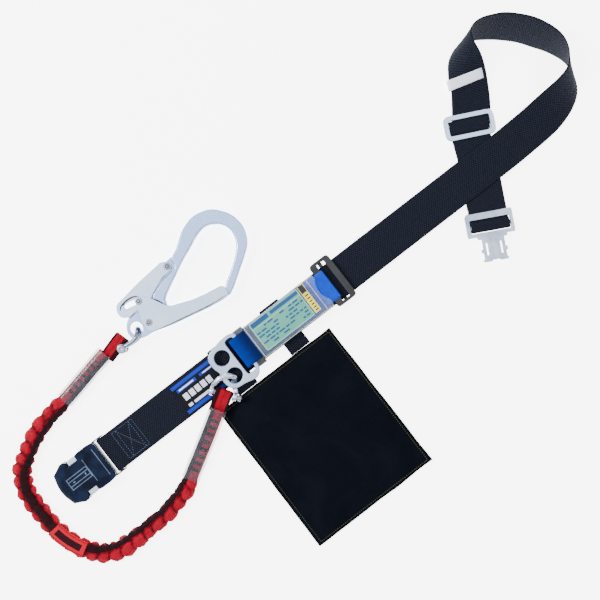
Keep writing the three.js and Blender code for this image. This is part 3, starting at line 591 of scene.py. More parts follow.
def lanyard_skin(total, path, step):
    """The gathered tube: its rings of points, their UVs, and how proud each point stands, which the
    material turns into painted shade between the puffs.
    """
    rings, marks, valley_shade = [], [], []
    for i, centre in enumerate(path):
        s = i * step
        side, up = frame_at(path, i)
        loose = smooth(s, SLEEVE_LOW - 8, SLEEVE_LOW + 12)
        loose *= 1 - smooth(s, total - SLEEVE_HIGH - 12, total - SLEEVE_HIGH + 8)
        turn = strip_turn(s, total)
        ring, mark = [], []
        for k in range(LANYARD_SIDES):
            around = math.tau * k / LANYARD_SIDES
            off = (around - turn + math.pi) % math.tau - math.pi
            dark = 1 - smooth(abs(off), 0.5, 0.85)
            ripple = 1.5 * wobble(s * 0.03, around, 4)
            big = lobe(s + 2.5 * math.sin(2 * around) + ripple, 16.6, 1.0)
            small = lobe(s * 1.02 + 4, 10.4, 5.0)
            puff = big * (1 - dark) + (0.3 + small * 0.5) * dark
            crease = math.exp(-((abs(off) - 0.68) / 0.15) ** 2)
            wrinkle = wobble(s * 0.4, math.cos(around) * 2.2, math.sin(around) * 2.2)
            swell = 1 + loose * (0.52 * (puff - 0.7) + 0.09 * wrinkle - 0.2 * crease)
            wide = 8.6 + 3.6 * loose
            tall = 3.2 + 3.6 * loose
            round_off = math.copysign(abs(math.cos(around)) ** 0.8, math.cos(around))
            a = -math.sin(around) * wide * swell
            b = round_off * tall * min(swell, 1.15)
            sway = 1.6 * loose * wobble(s * 0.045, 7.0, 2.0)
            ring.append(at(*(centre + side * (a + sway) + up * b)))
            mark.append((s, off * 10))
            # Painted shade factor: below 1 where the surface sinks between puffs.
            valley_shade.append(1 - loose * (1 - min(1.0, max(0.0, swell - 0.62) / 0.5)))
        rings.append(ring)
        marks.append(mark)
    return rings, marks, valley_shade


def lanyard_material(total):
    """Red weave with a dark strip, sewn seams, bar tacks under the two clear sleeves, and painted shade
    between the puffs.
    """
    shade = Shade("lanyard_weave", 0.85, Specular_IOR_Level=0.15)
    uv = shade.axes("UV")
    along, off = uv[0], shade.math("ABSOLUTE", uv[1])
    ragged = shade.math("MULTIPLY_ADD", shade.noise(140, 4, 0.7), 7.0, -3.5)
    strip = shade.math("SUBTRACT", 1.0, shade.span(shade.plus(off, ragged), 5.6, 6.6))
    puff = shade.node("ShaderNodeAttribute", attribute_name="puff").outputs["Fac"]
    height = shade.weave(along, uv[1], 1.5, 1.1)
    cloud = shade.noise(160, 4)
    tone = shade.blend(height, 0.55, cloud, 0.5)
    red = shade.mix(tone, (0.09, 0.0, 0.003), (0.66, 0.001, 0.028))
    maroon = shade.mix(tone, (0.003, 0.0006, 0.0012), (0.03, 0.003, 0.006))
    # Painted shade: the red darkens where the tube sinks between its puffs.
    red = shade.mix(shade.span(puff, 0.0, 0.75), (0.03, 0.0, 0.001), red)
    base = shade.mix(strip, red, maroon)
    seam = shade.math("LESS_THAN", shade.math("ABSOLUTE", shade.math("SUBTRACT", off, 16.5)), 0.35)
    sewn = shade.times(seam, shade.dashes(along, 2.1, -0.2))
    base = shade.mix(shade.times(sewn, 0.7), base, (0.03, 0.002, 0.005))
    tacks = shade.math("LESS_THAN", shade.math("SINE", shade.times(along, math.tau / 8.6)), 0.05)
    low = shade.between(along, 14.0, 78.0)
    high = shade.between(along, total - 68.0, total - 14.0)
    barred = shade.times(tacks, shade.plus(low, high))
    barred = shade.times(barred, shade.math("LESS_THAN", off, 17.5))
    base = shade.mix(barred, base, (0.012, 0.009, 0.013))
    shade.set("Base Color", base)
    shade.bump(shade.plus(height, shade.times(cloud, 1.6)), 0.9, 0.5)
    return shade


def add_lanyard():
    step = 1.1
    path = even_path(ROUTE, step)
    total = sum((b - a).length for a, b in zip(path, path[1:]))
    step = total / (len(path) - 1)
    rings, marks, valley_shade = lanyard_skin(total, path, step)
    skin = loft("lanyard_gathered_webbing", rings, lanyard_material(total),
                lambda i, k: marks[i][k % LANYARD_SIDES])
    # The puff attribute carries the painted shade for the material.
    valley_shade_layer = skin.data.attributes.new("puff", "FLOAT", "POINT")
    valley_shade_layer.data.foreach_set("value", valley_shade)
    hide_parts("lanyard_elastic_webbing")
    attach(skin, "lanyard")
    sleeves = [clear_sleeve("lanyard_" + end + "_clear_sleeve", "lanyard_" + end + "_sleeve", run)
               for end, run in (("lower", path[:int(SLEEVE_LOW / step)]),
                                ("upper", path[-int(SLEEVE_HIGH / step):]))]
    eyes = [eye_loop("lanyard_lower_eye", (-150.5, -27.5), 31,
                     [(-25, 15), (-6, 17.6), (5.6, 17.6), (5.6, 7.4), (-6, 7.4), (-25, 13.4)], 22, 1),
            eye_loop("lanyard_upper_eye", (-215.5, 107.5), 15,
                     [(-26, 12.2), (-8, 16), (7.4, 16), (7.4, 6.6), (-8, 6.6), (-26, 9.8)], 19, -1)]
    inner = path[int(CORE_INSET / step):-int(CORE_INSET / step):5]
    stations = [(p, frame_at(inner, i)[0]) for i, p in enumerate(inner)]
    core = ribbon("lanyard_core_strap", stations, 8, 4.4, CORE, 6)
    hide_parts("lanyard_elastic_core")
    pieces = sleeves + eyes + [core] + add_patch()
    for piece in pieces:
        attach(piece, "lanyard")


def eye_loop(node, pin, degrees, pairs, width, dark_side):
    """The lanyard's end: flat webbing turned back round its shackle pin. The wider of its dark
    edge bands is on the left where dark_side is 1, on the right where it is -1."""
    shade = Shade("red_eye_weave_" + node, 0.85, Specular_IOR_Level=0.12)
    uv = shade.axes("UV")
    height = shade.weave(uv[0], uv[1], 1.3, 1.1)
    tone = shade.math("MULTIPLY_ADD", height, 0.5, shade.times(shade.noise(130, 3), 0.6))
    red = shade.mix(tone, (0.14, 0.0, 0.004), (0.47, 0.0006, 0.018))
    maroon = shade.mix(tone, (0.003, 0.0006, 0.0012), (0.03, 0.002, 0.005))
    across = shade.times(uv[1], dark_side)
    middle = shade.math("ABSOLUTE", shade.plus(across, 0.8))
    dash = shade.dashes(uv[0], 2.4, -0.3)
    seam = shade.times(shade.math("LESS_THAN", middle, 0.3), dash)
    wide_dark_edge = shade.span(across, width * 0.5 - 6.5, width * 0.5 - 5)
    low = shade.math("SUBTRACT", 1.0, shade.span(across, 2 - width * 0.5, 3.2 - width * 0.5))
    dark = shade.math("MAXIMUM", seam, shade.math("MAXIMUM", wide_dark_edge, low))
    shade.paint(dark, red, maroon)
    shade.bump(height, 0.8, 0.35)
    loop = ribbon(node + "_webbing", run_stations(pin, degrees, pairs, 4.2), width, 1.7, shade, 12)
    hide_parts(node)
    return loop


CLEAR = plastic("clear_vinyl", (0.08, 0.08, 0.1), (0.16, 0.16, 0.19), 0.12, 0.2)


def clear_sleeve(name, node, path):
    rings, sides = [], 28
    for i, centre in enumerate(path):
        side, up = frame_at(path, i)
        pinch = 0.5 * wobble(i * 0.11, 3.0, 1.0)
        ring = []
        for k in range(sides):
            around = math.tau * k / sides
            a = math.copysign(abs(math.sin(around)) ** 0.85, math.sin(around)) * (11.6 + pinch)
            b = math.cos(around) * (5.6 + pinch)
            ring.append(at(*(centre + side * a + up * b)))
        rings.append(ring)
    sleeve = loft(name, rings, CLEAR, capped=False)
    thicken(sleeve, 0.5, 0)
    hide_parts(node)
    return sleeve


def add_patch():
    path = even_path(ROUTE, 1.0)
    place = Vector((-423, -55, 6.8))
    near = min(range(len(path)), key=lambda i: (path[i] - place).length)
    stations, inner = [], []
    for i in range(near - 19, near + 20):
        side = frame_at(path, i)[0]
        stations.append((path[i] + UP * 7.6 - side, side))
        if abs(i - near) < 15:
            inner.append((path[i] + UP * 8.05 - side, side))
    red = webbing("patch_red", (0.36, 0.0, 0.01), (0.8, 0.01, 0.04), 0.9, 0.8)
    dark = webbing("patch_dark", (0.006, 0.002, 0.004), (0.05, 0.01, 0.016), 0.9, 0.8)
    patch = ribbon("lanyard_tag", stations, 20.5, 1.0, red)
    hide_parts("lanyard_woven_patch")
    panel = ribbon("lanyard_tag_panel", inner, 8.5, 0.5, dark)
    edges = [[p + s * off + UP * 0.5 for p, s in stations[1:-1]] for off in (8.2, -8.2)]
    thread = stitches("lanyard_tag_thread", edges, dark, 2.2, 1.6, 0.5, 0.3)
    return [patch, panel, thread]


# ---- waist belt ----

TURN = [
    (225, -25, 3.5, 225, 25, 3.5), (240, -25, 4.6, 240, 25, 4.6), (256, -25, 6.6, 256, 25, 6.6),
    (292, -25, 6.6, 292, 25, 6.6), (326, -24.8, 6.6, 326, 25, 6.6), (344, -24, 5, 342, 25.2, 5.6),
    (362, -23, 3.4, 358, 25.4, 4.6), (381, -21.5, 2.4, 375, 25.5, 5.4), (400, -18.5, 1.5, 393, 26, 9),
    (420, -13.5, 1, 409, 27.5, 19), (437, -6.5, 1, 424, 29.5, 30), (448, 2, 1, 436, 32.5, 38),
    (454, 12, 1, 444, 37, 43), (457, 24, 1, 449, 43.5, 45.5), (458.5, 36, 1, 453.5, 51, 47.5),
    (457, 47, 1, 456.5, 60, 48.5), (452, 60, 1, 457.3, 70, 48.5), (446, 71, 1, 456, 79.5, 48.2),
    (437, 84, 1, 452, 92.5, 47), (427, 98.5, 1, 445, 107, 46.2), (416, 110.5, 1, 434, 121, 45.6),
    (404, 121.5, 1, 419, 135, 46), (393, 130, 1, 404.5, 142.5, 47), (383, 136.5, 1, 391.6, 147.4, 48),
    (372, 141, 1, 380, 148, 48), (358, 142.5, 1.5, 371.5, 143.5, 47), (348, 139, 2.2, 368, 137, 43),
    (340, 132.5, 3, 367, 129, 37), (333.5, 123, 4, 367, 118, 29), (327, 113.5, 4.5, 367, 107, 20),
    (321, 103.5, 4.7, 365.5, 95.5, 12.5), (314, 94, 4.7, 360.5, 80, 6.5), (305.5, 83, 4.7, 349.5, 60, 4.7),
    (296, 71, 4.7, 340, 47.5, 4.7), (285.7, 61.7, 4.7, 330, 38, 4.7), (278, 44, 4.7, 323.5, 23, 4.7),
    (270, 25, 4.7, 315.5, 4, 4.7), (260, 5, 4.7, 305, -17, 4.7), (249, -17, 4.7, 294, -39, 4.7),
    (241, -33, 4.7, 285.5, -56, 4.7),
]
ROWS_PER_PAIR = 8
MALE_AT = (261, -49)
MALE_HEADING = -117.4
BELT_WIDTH = 50
BELT_THICK = 1.6
BELT_TOP = 4.35


def turn_stations():
    """The strap's turned end, from TURN: x, y, z on one edge, then on the other."""
    middles = [Vector(((a + d) / 2, (b + e) / 2, (c + f) / 2)) for a, b, c, d, e, f in TURN]
    widths = [Vector((d - a, e - b, f - c)).normalized() for a, b, c, d, e, f in TURN]
    count = (len(TURN) - 1) * ROWS_PER_PAIR
    out = []
    for centre, across in zip(spline(middles, count), spline(widths, count)):
        across.normalize()
        flat = math.hypot(across.x, across.y)
        centre.z = max(centre.z, (abs(across.z) * BELT_WIDTH + flat * BELT_THICK) / 2)
        out.append((centre, across))
    return out


def add_belt():
    female = [(-264, 0.9), (-318.8, 0.9), (-318.8, 6.4), (-310, 6.4), (-299, 3.5), (215, 3.5)]
    male = [(-3, 4.7), (9.9, 4.7), (14.2, 8.6), (24.4, 8.6), (24.4, 2.8), (8, 2.8), (-3, 2.8)]
    start = run_stations((0, 0), 0, female, 2.2)
    turned = turn_stations()
    buckle = run_stations(MALE_AT, MALE_HEADING, male, 2)
    tail = [(Vector((c.x, c.y, 2.8)), -Vector((w.x, w.y, 0)).normalized())
            for c, w in reversed(turned[-66:])]
    strap = ribbon("belt_woven_strap", start + turned + buckle + tail, BELT_WIDTH, BELT_THICK, BELT, 24)
    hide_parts("belt_webbing")
    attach(strap, "waist_belt")
    box = [(-298, -20), (-298, 20), (-266, 20), (-266, -20), (-298, -20)]
    inner = [(-292, -20), (-292, 20)], [(-271, -20), (-271, 20)]
    cross = [(-292, -20), (-271, 20)], [(-292, 20), (-271, -20)]
    lines = [[Vector((x, y, BELT_TOP)) for x, y in line] for line in (box, *inner, *cross)]
    seam = stitches("belt_box_stitching", lines, THREAD_BLUE)
    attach(seam, "waist_belt")


def add_label():
    """The sewn label. Its print is plain stripes and blocks, with nothing that can be read."""
    base = rounded("belt_sewn_label", "belt_label", LABEL, 0.15, 1)
    low, high = 5.0, 5.16
    bars = [(-202.6, -141.4, 15, 19.8), (-202.6, -141.4, -21.4, -16.6)]
    bars += [(-198, -168, 8.2, 13), (-162, -142, 8.8, 12.6)]
    stripes = tiles("belt_label_stripes", [(*bar, low, high) for bar in bars], LABEL_BLUE)
    blocks = [(-195 + 9.2 * n, -188 + 9.2 * n, -5.5, 3.5, low, high) for n in range(5)]
    blocks += [(-195, -172, 9.6, 11.6, low, high + 0.05), (-157, -143, 9.8, 11.4, low, high + 0.05)]
    blocks += [(-196, -190, -14.6, -10.6, low, high), (-187, -163, -14.6, -11, low, high)]
    printed = tiles("belt_label_blocks", blocks, PRINT_WHITE)
    for piece in (base, stripes, printed):
        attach(piece, "waist_belt")


# ---- buckles and slides ----


def add_buckle_ribs():
    """The low raised lines moulded on the female buckle's cover, coloured lighter than it: painted
    highlight.
    """
    top = 16.75
    ribs = [(-376, -346, y - 0.6, y + 0.6, top, top + 0.45) for y in (7.4, -7.4, 3.1, -3.1)]
    ribs += [(-377, -375.8, -8, 8, top, top + 0.45), (-346.2, -345, -8, 8, top, top + 0.45)]
    ribs += [(-327.4, -326.2, -20, 20, top - 0.1, top + 0.35), (-345, -344, -17, 17, top, top + 0.4)]
    ribs += [(-370.5, -367.5, -1, 1, top, top + 0.6), (-352, -350, -1.6, 1.6, top, top + 0.6)]
    lines = tiles("female_buckle_ribs", ribs, SMOKE_RIB_HIGHLIGHT)
    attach(lines, "waist_belt")


SLIDE_AT = (309.8, 53)
SLIDE_HEADING = -116


def add_buckles():
    # Pieces given a rim material get their side faces darker: painted shade.
    fixed = [rounded("female_buckle_base", "female_buckle_lower_shell", SMOKE_DARK, 0.5),
             rounded("female_buckle_cover", "female_buckle_upper_shell", SMOKE, 1.1, 3),
             rounded("buckle_latch", "female_buckle_latch_plate", STEEL, 0.25, 1),
             rounded("male_buckle", "male_buckle_frame", ZINC, 0.5, rim=ALLOY_SIDE_SHADE),
             rounded("male_buckle_cross_bar", "male_buckle_bar", ZINC, 0.4, rim=ALLOY_SIDE_SHADE),
             add_keeper()]
    springs = [rounded("button_spring_" + side, "release_spring_" + side, STEEL, 0.02, 1)
               for side in ("left", "right")]
    for piece in fixed + springs:
        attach(piece, "waist_belt")
    for spring, joint, seat in zip(springs, ("release_left", "release_right"), (11.1, -11.1)):
        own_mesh(spring)
    for side in ("left", "right"):
        button = rounded("steel_button_" + side, "release_button_" + side, STEEL, 0.8, 3)
        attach(button, "release_button_" + side)
    slide = rounded("silver_triglide", "silver_belt_slide", ALLOY_PALE, 0.8, 3, rim=ALLOY_SIDE_SHADE)
    ahead, across = heading(SLIDE_HEADING)
    crown = [(Vector((*SLIDE_AT, 6.9 - 0.006 * k * k)) + ahead * k, across) for k in range(-9, 10, 3)]
    fold = ribbon("slide_bar_fold", crown, 52.2, 1.7, BELT)
    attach(fold, "silver_slide")
    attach(slide, "silver_slide")
    add_buckle_ribs()


KEEPER_ROW, KEEPER_ROWS = 231, 11
KEEPER_FAR_ROW, KEEPER_FAR_STEP = 236, 0.72
KEEPER_LEFT, KEEPER_RIGHT, KEEPER_WIDTH = 25, 17, 46


def add_keeper():
    """The white band round the turned strap. It lies askew: its far edge runs slower."""
    turned = turn_stations()
    band = []
    for n in range(KEEPER_ROWS):
        centre, side = turned[KEEPER_ROW + n]
        near, part = divmod(KEEPER_FAR_ROW + n * KEEPER_FAR_STEP, 1)
        middle, across = (turned[int(near)][k].lerp(turned[int(near) + 1][k], part) for k in (0, 1))
        left = centre - side * KEEPER_LEFT
        right = middle + across * KEEPER_RIGHT
        band.append(((left + right) / 2, right - left))
    shell = ribbon("belt_end_keeper", band, KEEPER_WIDTH, BELT_THICK + 3.4, WHITE, capped=False)
    thicken(shell, 0.7, 1)
    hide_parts("white_belt_keeper")
    return shell


# ---- absorber pack ----


def card_material():
    shade = Shade("label_card_print", 0.42, Coat_Weight=0.3)
    cloud = shade.noise(70, 3)
    tone = shade.blend(cloud, 0.7, shade.noise(900, 2), 0.3)
    shade.paint(tone, (0.045, 0.26, 0.18), (0.11, 0.4, 0.3))
    shade.bump(cloud, 0.2, 0.2)
    return shade


INK = flat_cloth("card_ink", (0.015, 0.06, 0.16), (0.04, 0.12, 0.3), 0.3)
INK_PALE = flat_cloth("card_pale", (0.5, 0.72, 0.68), (0.7, 0.86, 0.8), 0.3)
YELLOW = plastic("indicator_yellow", (0.75, 0.6, 0.02), (0.95, 0.82, 0.08), 0.4)
COVER = plastic("clear_cover", (0.35, 0.45, 0.6), (0.6, 0.7, 0.8), 0.06, 0.09)
SEAM = plastic("clear_cover_weld", (0.55, 0.62, 0.7), (0.8, 0.85, 0.9), 0.2, 0.45)


# Bottom and top of the print on the card, the marks on the strip and the cover's weld.
CARD_Z = (24.66, 24.8)
STRIP_Z = (24.56, 24.7)
WELD_Z = (24.0, 24.3)


def card_blocks():
    """Plain bars where a printed card has its lines: nothing that can be read."""
    chooser = random.Random(4)
    blocks = [(-70, -44, 15.4, 21.4, *CARD_Z), (-40, 3, 16.2, 20.6, *CARD_Z)]
    for row in range(6):
        y = 11.8 - row * 4.7
        x = -69.5
        while x < 0:
            length = chooser.uniform(3.5, 9)
            if chooser.random() > 0.25:
                blocks.append((x, min(x + length, 2.5), y - 2.1, y, *CARD_Z))
            x += length + 1.6
    return blocks


def add_absorber():
    folds = [(12, 7.6), (28, 7.6), (44.2, 7.6), (44.2, 13.7), (28, 13.7), (20, 9.7), (6, 9.7), (-66, 9.7),
             (-66, 12.1), (4, 12.1), (4, 14.4), (-64, 14.4), (-64, 16.6), (4, 16.6), (4, 19), (-84, 19),
             (-104.4, 19), (-104.4, 11), (-84, 11), (-70, 11)]
    stations = run_stations((0, 0), 0, folds, 1.1, 0.8)
    strap = ribbon("absorber_folded_webbing", stations, 42, 1.5, blue_material(), 18)
    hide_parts("absorber_tear_webbing")
    card = rounded("absorber_card", "absorber_label_card", card_material(), 0.12, 1)
    ink = tiles("absorber_card_bars", card_blocks(), INK)
    rules = [(-71, 3.6, 13.2, 13.6), (-71, 3.6, -17.6, -17.2), (-71, 3.6, 21.9, 22.3),
             (-71.2, -70.8, -17.4, 22.1), (3.4, 3.8, -17.4, 22.1)]
    frame_lines = tiles("absorber_card_rules", [(*rule, *CARD_Z) for rule in rules], INK_PALE)
    strip = rounded("absorber_indicator", "absorber_indicator_strip", YELLOW, 0.1, 1)
    ticks = [(6.6, 14, 12, 22.6, *STRIP_Z)]
    ticks += [(8, 12.6, y, y + 1.6, *STRIP_Z) for y in (-15, -11, -6.5, -2, 2.5, 7)]
    marks = tiles("absorber_indicator_marks", ticks, BLACK)
    cover = rounded("absorber_cover", "absorber_clear_cover", COVER, 0.4, 2)
    welds = [(20.4, 21.4, -23, 23.6), (-78.6, -77.8, -22.6, 23.6), (-79, 30, 23.2, 24),
             (-79, 30, -23.2, -22.4)]
    seam = tiles("absorber_weld_seam", [(*weld, *WELD_Z) for weld in welds], SEAM)
    keeper = rounded("absorber_grey_keeper", "absorber_belt_keeper", GREY, 0.5)
    slide = rounded("black_triglide", "black_belt_slide", BLACK, 1.1, 3)
    for piece in (strap, card, ink, frame_lines, strip, marks, cover, seam, keeper, slide):
        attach(piece, "absorber_pack")


# ---- connector, shackles and hook ----

BOW_OUTLINE = [
    (-141.5, 109), (-137, 115.5), (-124, 123.6), (-110, 130.6), (-90, 140.6), (-70, 149),
    (-55, 155.5), (-45, 158), (-38, 158), (-30, 155), (-21, 147.5), (-16.5, 138), (-16.5, 128),
    (-20, 118), (-29, 107), (-40, 98), (-50, 91.5), (-66, 81), (-70, 77), (-70, 70), (-60, 72.5),
    (-50, 78.5), (-35, 88.5), (-20, 98.5), (-9, 108), (-3, 118), (0, 128), (0, 138), (-3, 150),
    (-10, 161.5), (-20, 171.5), (-34, 177), (-46, 178), (-57, 175.5), (-67, 171.5), (-77, 165),
    (-87, 158), (-97, 153), (-100.6, 150.5), (-100.8, 145), (-103.4, 140.6), (-112, 138.6),
    (-124, 136.6), (-137, 132.8), (-148.6, 127.6), (-149.4, 122),
]
SPINE_OUTLINE = [
    (-200, 99), (-202.4, 106), (-201, 113.4), (-195.8, 120.6), (-186, 126.5), (-172, 131),
    (-158, 136), (-145, 140), (-130, 143.5), (-114, 151.4), (-104, 153.4), (-97, 152.5),
    (-97, 141), (-110, 133), (-130, 122.5), (-139, 114), (-142.5, 107), (-145, 100), (-160, 94),
    (-178, 92), (-190, 93.5),
]
HOOK_Z = 11
HOOK_SCALE = 0.988
GATE_RIVET = (-169.5, 103)
LEVER_RIVET = (-108, 145.5)


def hook_points(points):
    """The outlines as drawn, brought to true size about the drawing's centre."""
    middle = VIEW_CENTRE[1]
    return [(x * HOOK_SCALE, middle + (y - middle) * HOOK_SCALE) for x, y in points]


def forged(name, outline, holes, half, rim):
    """A flat forging with holes, both faces rounded over by the rim width."""
    curve = bpy.data.curves.new(name, "CURVE")
    curve.dimensions = "2D"
    curve.fill_mode = "BOTH"
    curve.extrude = (half - rim) * MM
    curve.bevel_depth = rim * MM
    curve.offset = -rim * MM
    curve.bevel_resolution = 2
    loops = [hook_points(outline)]
    for x, y, radius in holes:
        turns = [0.2 * math.pi * k for k in range(10)]
        loops.append([(x + radius * math.cos(a), y + radius * math.sin(a)) for a in turns])
    for loop in loops:
        line = curve.splines.new("BEZIER")
        line.bezier_points.add(len(loop) - 1)
        for knot, place in zip(line.bezier_points, loop):
            knot.co = at(*place)
            knot.handle_left_type = knot.handle_right_type = "AUTO"
        line.use_cyclic_u = True
        line.resolution_u = 5
    item = linked(name, curve)
    mesh = evaluated(item)
    mesh.transform(Matrix.Translation((0, 0, HOOK_Z * MM)))
    bpy.data.objects.remove(item)
    return mesh


def add_hook_forging():
    """The hook's body in two overlapping forgings: the bow, and the spine with the rivets."""
    holes = [(-187.6, 107.2, 8.6), (*GATE_RIVET, 3.3), (*LEVER_RIVET, 3.3)]
    work = bmesh.new()
    work.from_mesh(forged("bow", BOW_OUTLINE, [], 6.1, 1.8))
    work.from_mesh(forged("spine", SPINE_OUTLINE, holes, 4.5, 0.9))
    item = make("hook_forging", mesh_from(work, "hook_forging"), ALLOY)
    # Painted shade: the forging's side faces take the darker rim material.
    paint_side_shade(item.data, ALLOY_SIDE_SHADE, 0.9)
    flat_normals(item)
    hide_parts("hook_body")
    return item


def rod(name, node, points, radius, ears, axis, shade):
    """A bent round bar, with an eye ring about the axis at each place in ears."""
    steps = 70
    line = spline([Vector(p) for p in points], steps)
    rings = []
    for i, centre in enumerate(line):
        side, up = frame_at(line, i)
        swell = radius * (1.12 - 0.12 * math.cos(math.tau * i / steps))
        rings.append([at(*(centre + side * swell * math.cos(a) + up * radius * math.sin(a)))
                      for a in (math.tau * k / 14 for k in range(14))])
    bar = loft(name, rings, shade)
    pieces = [bar]
    across = axis.cross(UP) if abs(axis.z) < 0.5 else Vector((1, 0, 0))
    other = axis.cross(across)
    profile = [(2.7, -2.3), (2.7, 2.3), (3.3, 2.8), (5.4, 2.8), (6.1, 2.1), (6.1, -2.1),
               (5.4, -2.8), (3.3, -2.8)]
    for n, place in enumerate(ears):
        rings = []
        for k in range(29):
            turn = math.tau * k / 28
            out = across * math.cos(turn) + other * math.sin(turn)
            rings.append([at(*(Vector(place) + out * r + axis * h)) for r, h in profile])
        pieces.append(loft(name + "_eye" + str(n), rings, shade, capped=False))
    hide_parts(node)
    return pieces


UPPER_PIN = (-217.5, 97.5)
UPPER_EAR = 7.85
LOWER_PIN = Vector((-150.5, -27.5, 12.5))
PIN_AXIS, PIN_SIDE = heading(-52.5)


def by_pin(along, out, up=0):
    """A point beside the lower shackle's pin: along it, out to its left, and up."""
    return LOWER_PIN + PIN_AXIS * along + PIN_SIDE * out + UP * up


def add_shackle_bows():
    bow = [by_pin(-16, 4.5), by_pin(-15.6, 9, 1.5), (-151, -10, 18), (-143, -8.6, 20.2),
           (-134, -10.4, 20.6), (-128.6, -14.5, 19.4), (-126.6, -19, 15.2), (-129, -22.6, 11),
           (-134.5, -24.5, 9.4), by_pin(10, 12, -2), by_pin(13.6, 8, -1.6), by_pin(14.6, 4.5, -0.6)]
    ears = [by_pin(-16, 0), by_pin(14.6, 0)]
    lower = rod("lower_bow", "lower_shackle_bow", bow, 2.9, ears, PIN_AXIS, STEEL)
    for piece in lower:
        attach(piece, "lower_shackle")
    half_bow = [(-212.4, 97.4, 8.6), (-206, 96.6, 8.9), (-199, 96.6, 8.9), (-192.8, 98.2, 8.5),
                (-188.4, 102.4, 5.4)]
    bow = [(x, y, HOOK_Z + rise) for x, y, rise in half_bow] + [(-187, 105.4, HOOK_Z)]
    bow += [(x, y, HOOK_Z - 0.9 * rise) for x, y, rise in reversed(half_bow)]
    ears = [(*UPPER_PIN, HOOK_Z + UPPER_EAR), (*UPPER_PIN, HOOK_Z - UPPER_EAR)]
    upper = rod("upper_bow", "upper_shackle_bow", bow, 2.9, ears, UP, DARK_STEEL)
    for piece in upper:
        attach(piece, "upper_shackle")


def add_hardware():
    # The plate, gate and lever get their side faces in the darker rim material: painted shade.
    plate = rounded("connector", "connector_plate", PLATE_STEEL, 1.2, 3, rim=ALLOY_SIDE_SHADE)
    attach(plate, "connector")
    add_shackle_bows()
    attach(rounded("lower_pin", "lower_shackle_pin", RIVET, 0.5), "lower_shackle")
    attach(rounded("upper_pin", "upper_shackle_pin", RIVET, 0.5), "upper_shackle")
    body = add_hook_forging()
    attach(body, "hook")
    gate = rounded("hook_gate_sheet", "hook_gate", ALLOY_PALE, 0.6, 2, 50, ALLOY_SIDE_SHADE)
    pin = rounded("hook_gate_pin", "hook_gate_lock_pin", RIVET, 0.5)
    lever = rounded("hook_lever_sheet", "hook_lock_lever", ALLOY_PALE, 0.6, 2, 50, ALLOY_SIDE_SHADE)
    # Painted shadows: thin dark strips laid on the hook's faces over its shaded gaps, slot and crease.
    jaw = [(-147, 122.8), (-144, 116.5), (-140.6, 109.2)]
    heel = [(-152, 129.4), (-138, 134.2), (-124, 137.6), (-104, 140.6)]
    for mark in (shadow_line("hook_jaw_shadow", jaw, 17.16, 3.6), shadow_line("hook_heel_shadow", heel, 17.3, 1.7)):
        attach(mark, "hook")
    slot = [(-190, 136.8), (-185, 140.8), (-175, 142.4), (-166, 141), (-160, 137.4)]
    crease = [(-186, 122.8), (-178, 123.6), (-171.5, 124.2)]
    for mark in (shadow_line("hook_lever_slot_shadow", slot, 17.45, 2.6),
                 shadow_line("hook_lever_crease_shadow", crease, 17.42, 0.9)):
        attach(mark, "lock_lever")
    # The gate's serrated lower edge as a darker strip: painted shade along its fold.
    edge = [(-176, 91.3), (-150, 84.6), (-120, 78), (-95, 72.8), (-70, 70.4)]
    gate_edge_shadow = shadow_line("hook_gate_edge_shadow", edge, 19.36, 2.4, DARK_STEEL)
    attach(gate_edge_shadow, "gate")
    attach(gate, "gate")
    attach(pin, "gate")
    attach(lever, "lock_lever")
    for node in ("hook_gate_pivot_rivet", "hook_lever_pivot_rivet"):
        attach(rounded(node + "_head", node, RIVET, 0.6), "hook")
    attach(dimple("gate_rivet_dimple", *GATE_RIVET, 20.9), "hook")
    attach(dimple("lever_rivet_dimple", *LEVER_RIVET, 19), "hook")
    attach(dimple("gate_pin_dimple", -163.5, 132.4, 20.9), "gate")


def dimple(name, x, y, top):
    """The pressed ring that closes a rivet's head, dark with painted shade."""
    section = [(1.3, -0.2), (1.5, 0.06), (2.5, 0.06), (2.7, -0.2)]
    turns = [math.tau * k / 24 for k in range(25)]
    rings = [[at(x + r * math.cos(a), y + r * math.sin(a), top + h) for r, h in section] for a in turns]
    return loft(name, rings, SLOT_SHADOW, capped=False)


def shadow_line(name, points, z, width, shade=SLOT_SHADOW):
    """A painted shadow: a dark tapering crescent lying in the face at height z, over the hook's shaded
    gaps, slot and crease.
    """
    line = spline([Vector((x, y, z)) for x, y in points], 24)
    rings = []
    for i, centre in enumerate(line):
        side = frame_at(line, i)[0]
        half = 0.12 + width / 2 * math.sin(math.pi * i / (len(line) - 1)) ** 0.6
        ring = [(-half, -0.3), (half, -0.3), (half * 0.8, 0.06), (-half * 0.8, 0.06)]
        rings.append([at(*(centre + side * a + UP * b)) for a, b in ring])
    return loft(name, rings, shade)


# ---- pouch ----

POUCH = (-173, 9.5, -259.5, -43)


def pouch_material():
    shade = Shade("pouch_nylon", 0.6, Specular_IOR_Level=0.03)
    height = shade.flat_weave(0.7)
    cloud = shade.noise(14, 5, 0.6, 1.2)
    tone = shade.span(shade.blend(height, 0.35, cloud, 0.7), 0.2, 0.9)
    shade.paint(tone, (0.0009, 0.0013, 0.003), (0.0036, 0.0048, 0.0102))
    shade.bump(shade.plus(height, shade.times(cloud, 3.0)), 0.4, 0.3)
    return shade


def pouch_height(f, g, x, y):
    """The bag's upper skin: a low swell that dies at the sewn edges, with faint creases."""
    edge = min(f, 1 - f, g * 1.15, (1 - g) * 1.15)
    swell = 2.2 + 3.6 * smooth(edge, 0.0, 0.16)
    crease = wobble((x + y) * 0.018, (x - y) * 0.006, 4.0)
    fold = wobble((x + y) * 0.045, (x - y) * 0.011, 9.0)
    return swell + smooth(edge, 0.0, 0.1) * (0.75 * crease + 0.4 * fold)


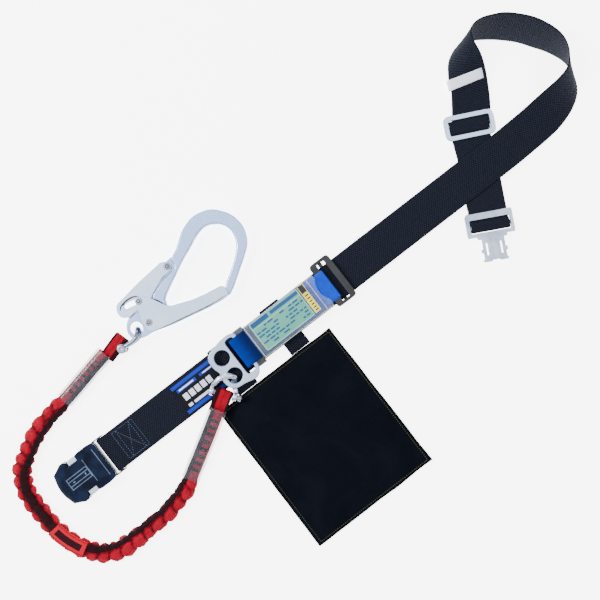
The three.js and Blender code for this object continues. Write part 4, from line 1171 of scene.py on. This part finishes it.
def add_pouch():
    x0, x1, y0, y1 = POUCH
    across, down = 84, 96
    upper, lower = [], []
    for j in range(down + 1):
        g = j / down
        for i in range(across + 1):
            f = i / across
            left, right = x0 + 2.2 * g - 1.2, x1 - 1.2 * g
            x = left + (right - left) * f + 0.7 * wobble(g * 6, f * 1.5, 2)
            y = y0 + (y1 - y0) * g + 0.9 * wobble(f * 5, 8, g)
            upper.append(at(x, y, max(1.6, pouch_height(f, g, x, y))))
            lower.append(at(x, y, 0.25))
    mesh = bpy.data.meshes.new("pouch_bag_skin")
    width = across + 1
    base = width * (down + 1)
    faces = []
    for j in range(down):
        for i in range(across):
            a = j * width + i
            faces.append((a, a + 1, a + 1 + width, a + width))
            faces.append((base + a, base + a + width, base + a + 1 + width, base + a + 1))
    rim = list(range(across)) + [j * width + across for j in range(down)]
    rim += [down * width + i for i in range(across, 0, -1)] + [j * width for j in range(down, 0, -1)]
    for a, b in zip(rim, rim[1:] + rim[:1]):
        faces.append((a, base + a, base + b, b))
    mesh.from_pydata(upper + lower, [], faces)
    fix_normals(mesh)
    bag = make("pouch_bag_skin", mesh, pouch_material())
    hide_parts("pouch_bag")
    inset, z = 4.2, 3.3
    low, high = y0 + inset, y1 - inset
    loop = [(x0 + inset, low), (x1 - inset - 0.8, low), (x1 - inset - 1, high), (x0 + inset + 1.4, high)]
    line = [Vector((x, y, z)) for x, y in loop + loop[:1]]
    thread = stitches("pouch_edge_stitching", [line], THREAD_OLIVE, 3.2, 2.5, 1.0, 0.6)
    for piece in (bag, thread):
        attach(piece, "pouch")
    for side, (a, b) in (("left", (-137, -107.5)), ("right", (-52, -22.5))):
        pairs = [(42.4, 5), (30, 5), (-27.4, 5), (-27.4, 1.3), (30, 1.3), (39.5, 1.3)]
        stations = run_stations(((a + b) / 2, 0), -90, pairs, 1.6)
        strap = ribbon("pouch_strap_" + side + "_weave", stations, b - a, 0.9, BELT, 10)
        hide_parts("pouch_strap_" + side)
        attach(strap, "pouch_straps")


def add_floor():
    mesh = bpy.data.meshes.new("floor")
    reach, z = 3, -0.0006
    corners = [(-reach, -reach, z), (reach, -reach, z), (reach, reach, z), (-reach, reach, z)]
    mesh.from_pydata(corners, [], [(0, 1, 2, 3)])
    make("floor", mesh, floor_material(), False)


add_camera()
add_lanyard()
add_studio()
add_floor()
add_belt()
add_label()
add_buckles()
add_absorber()
add_hardware()
add_pouch()
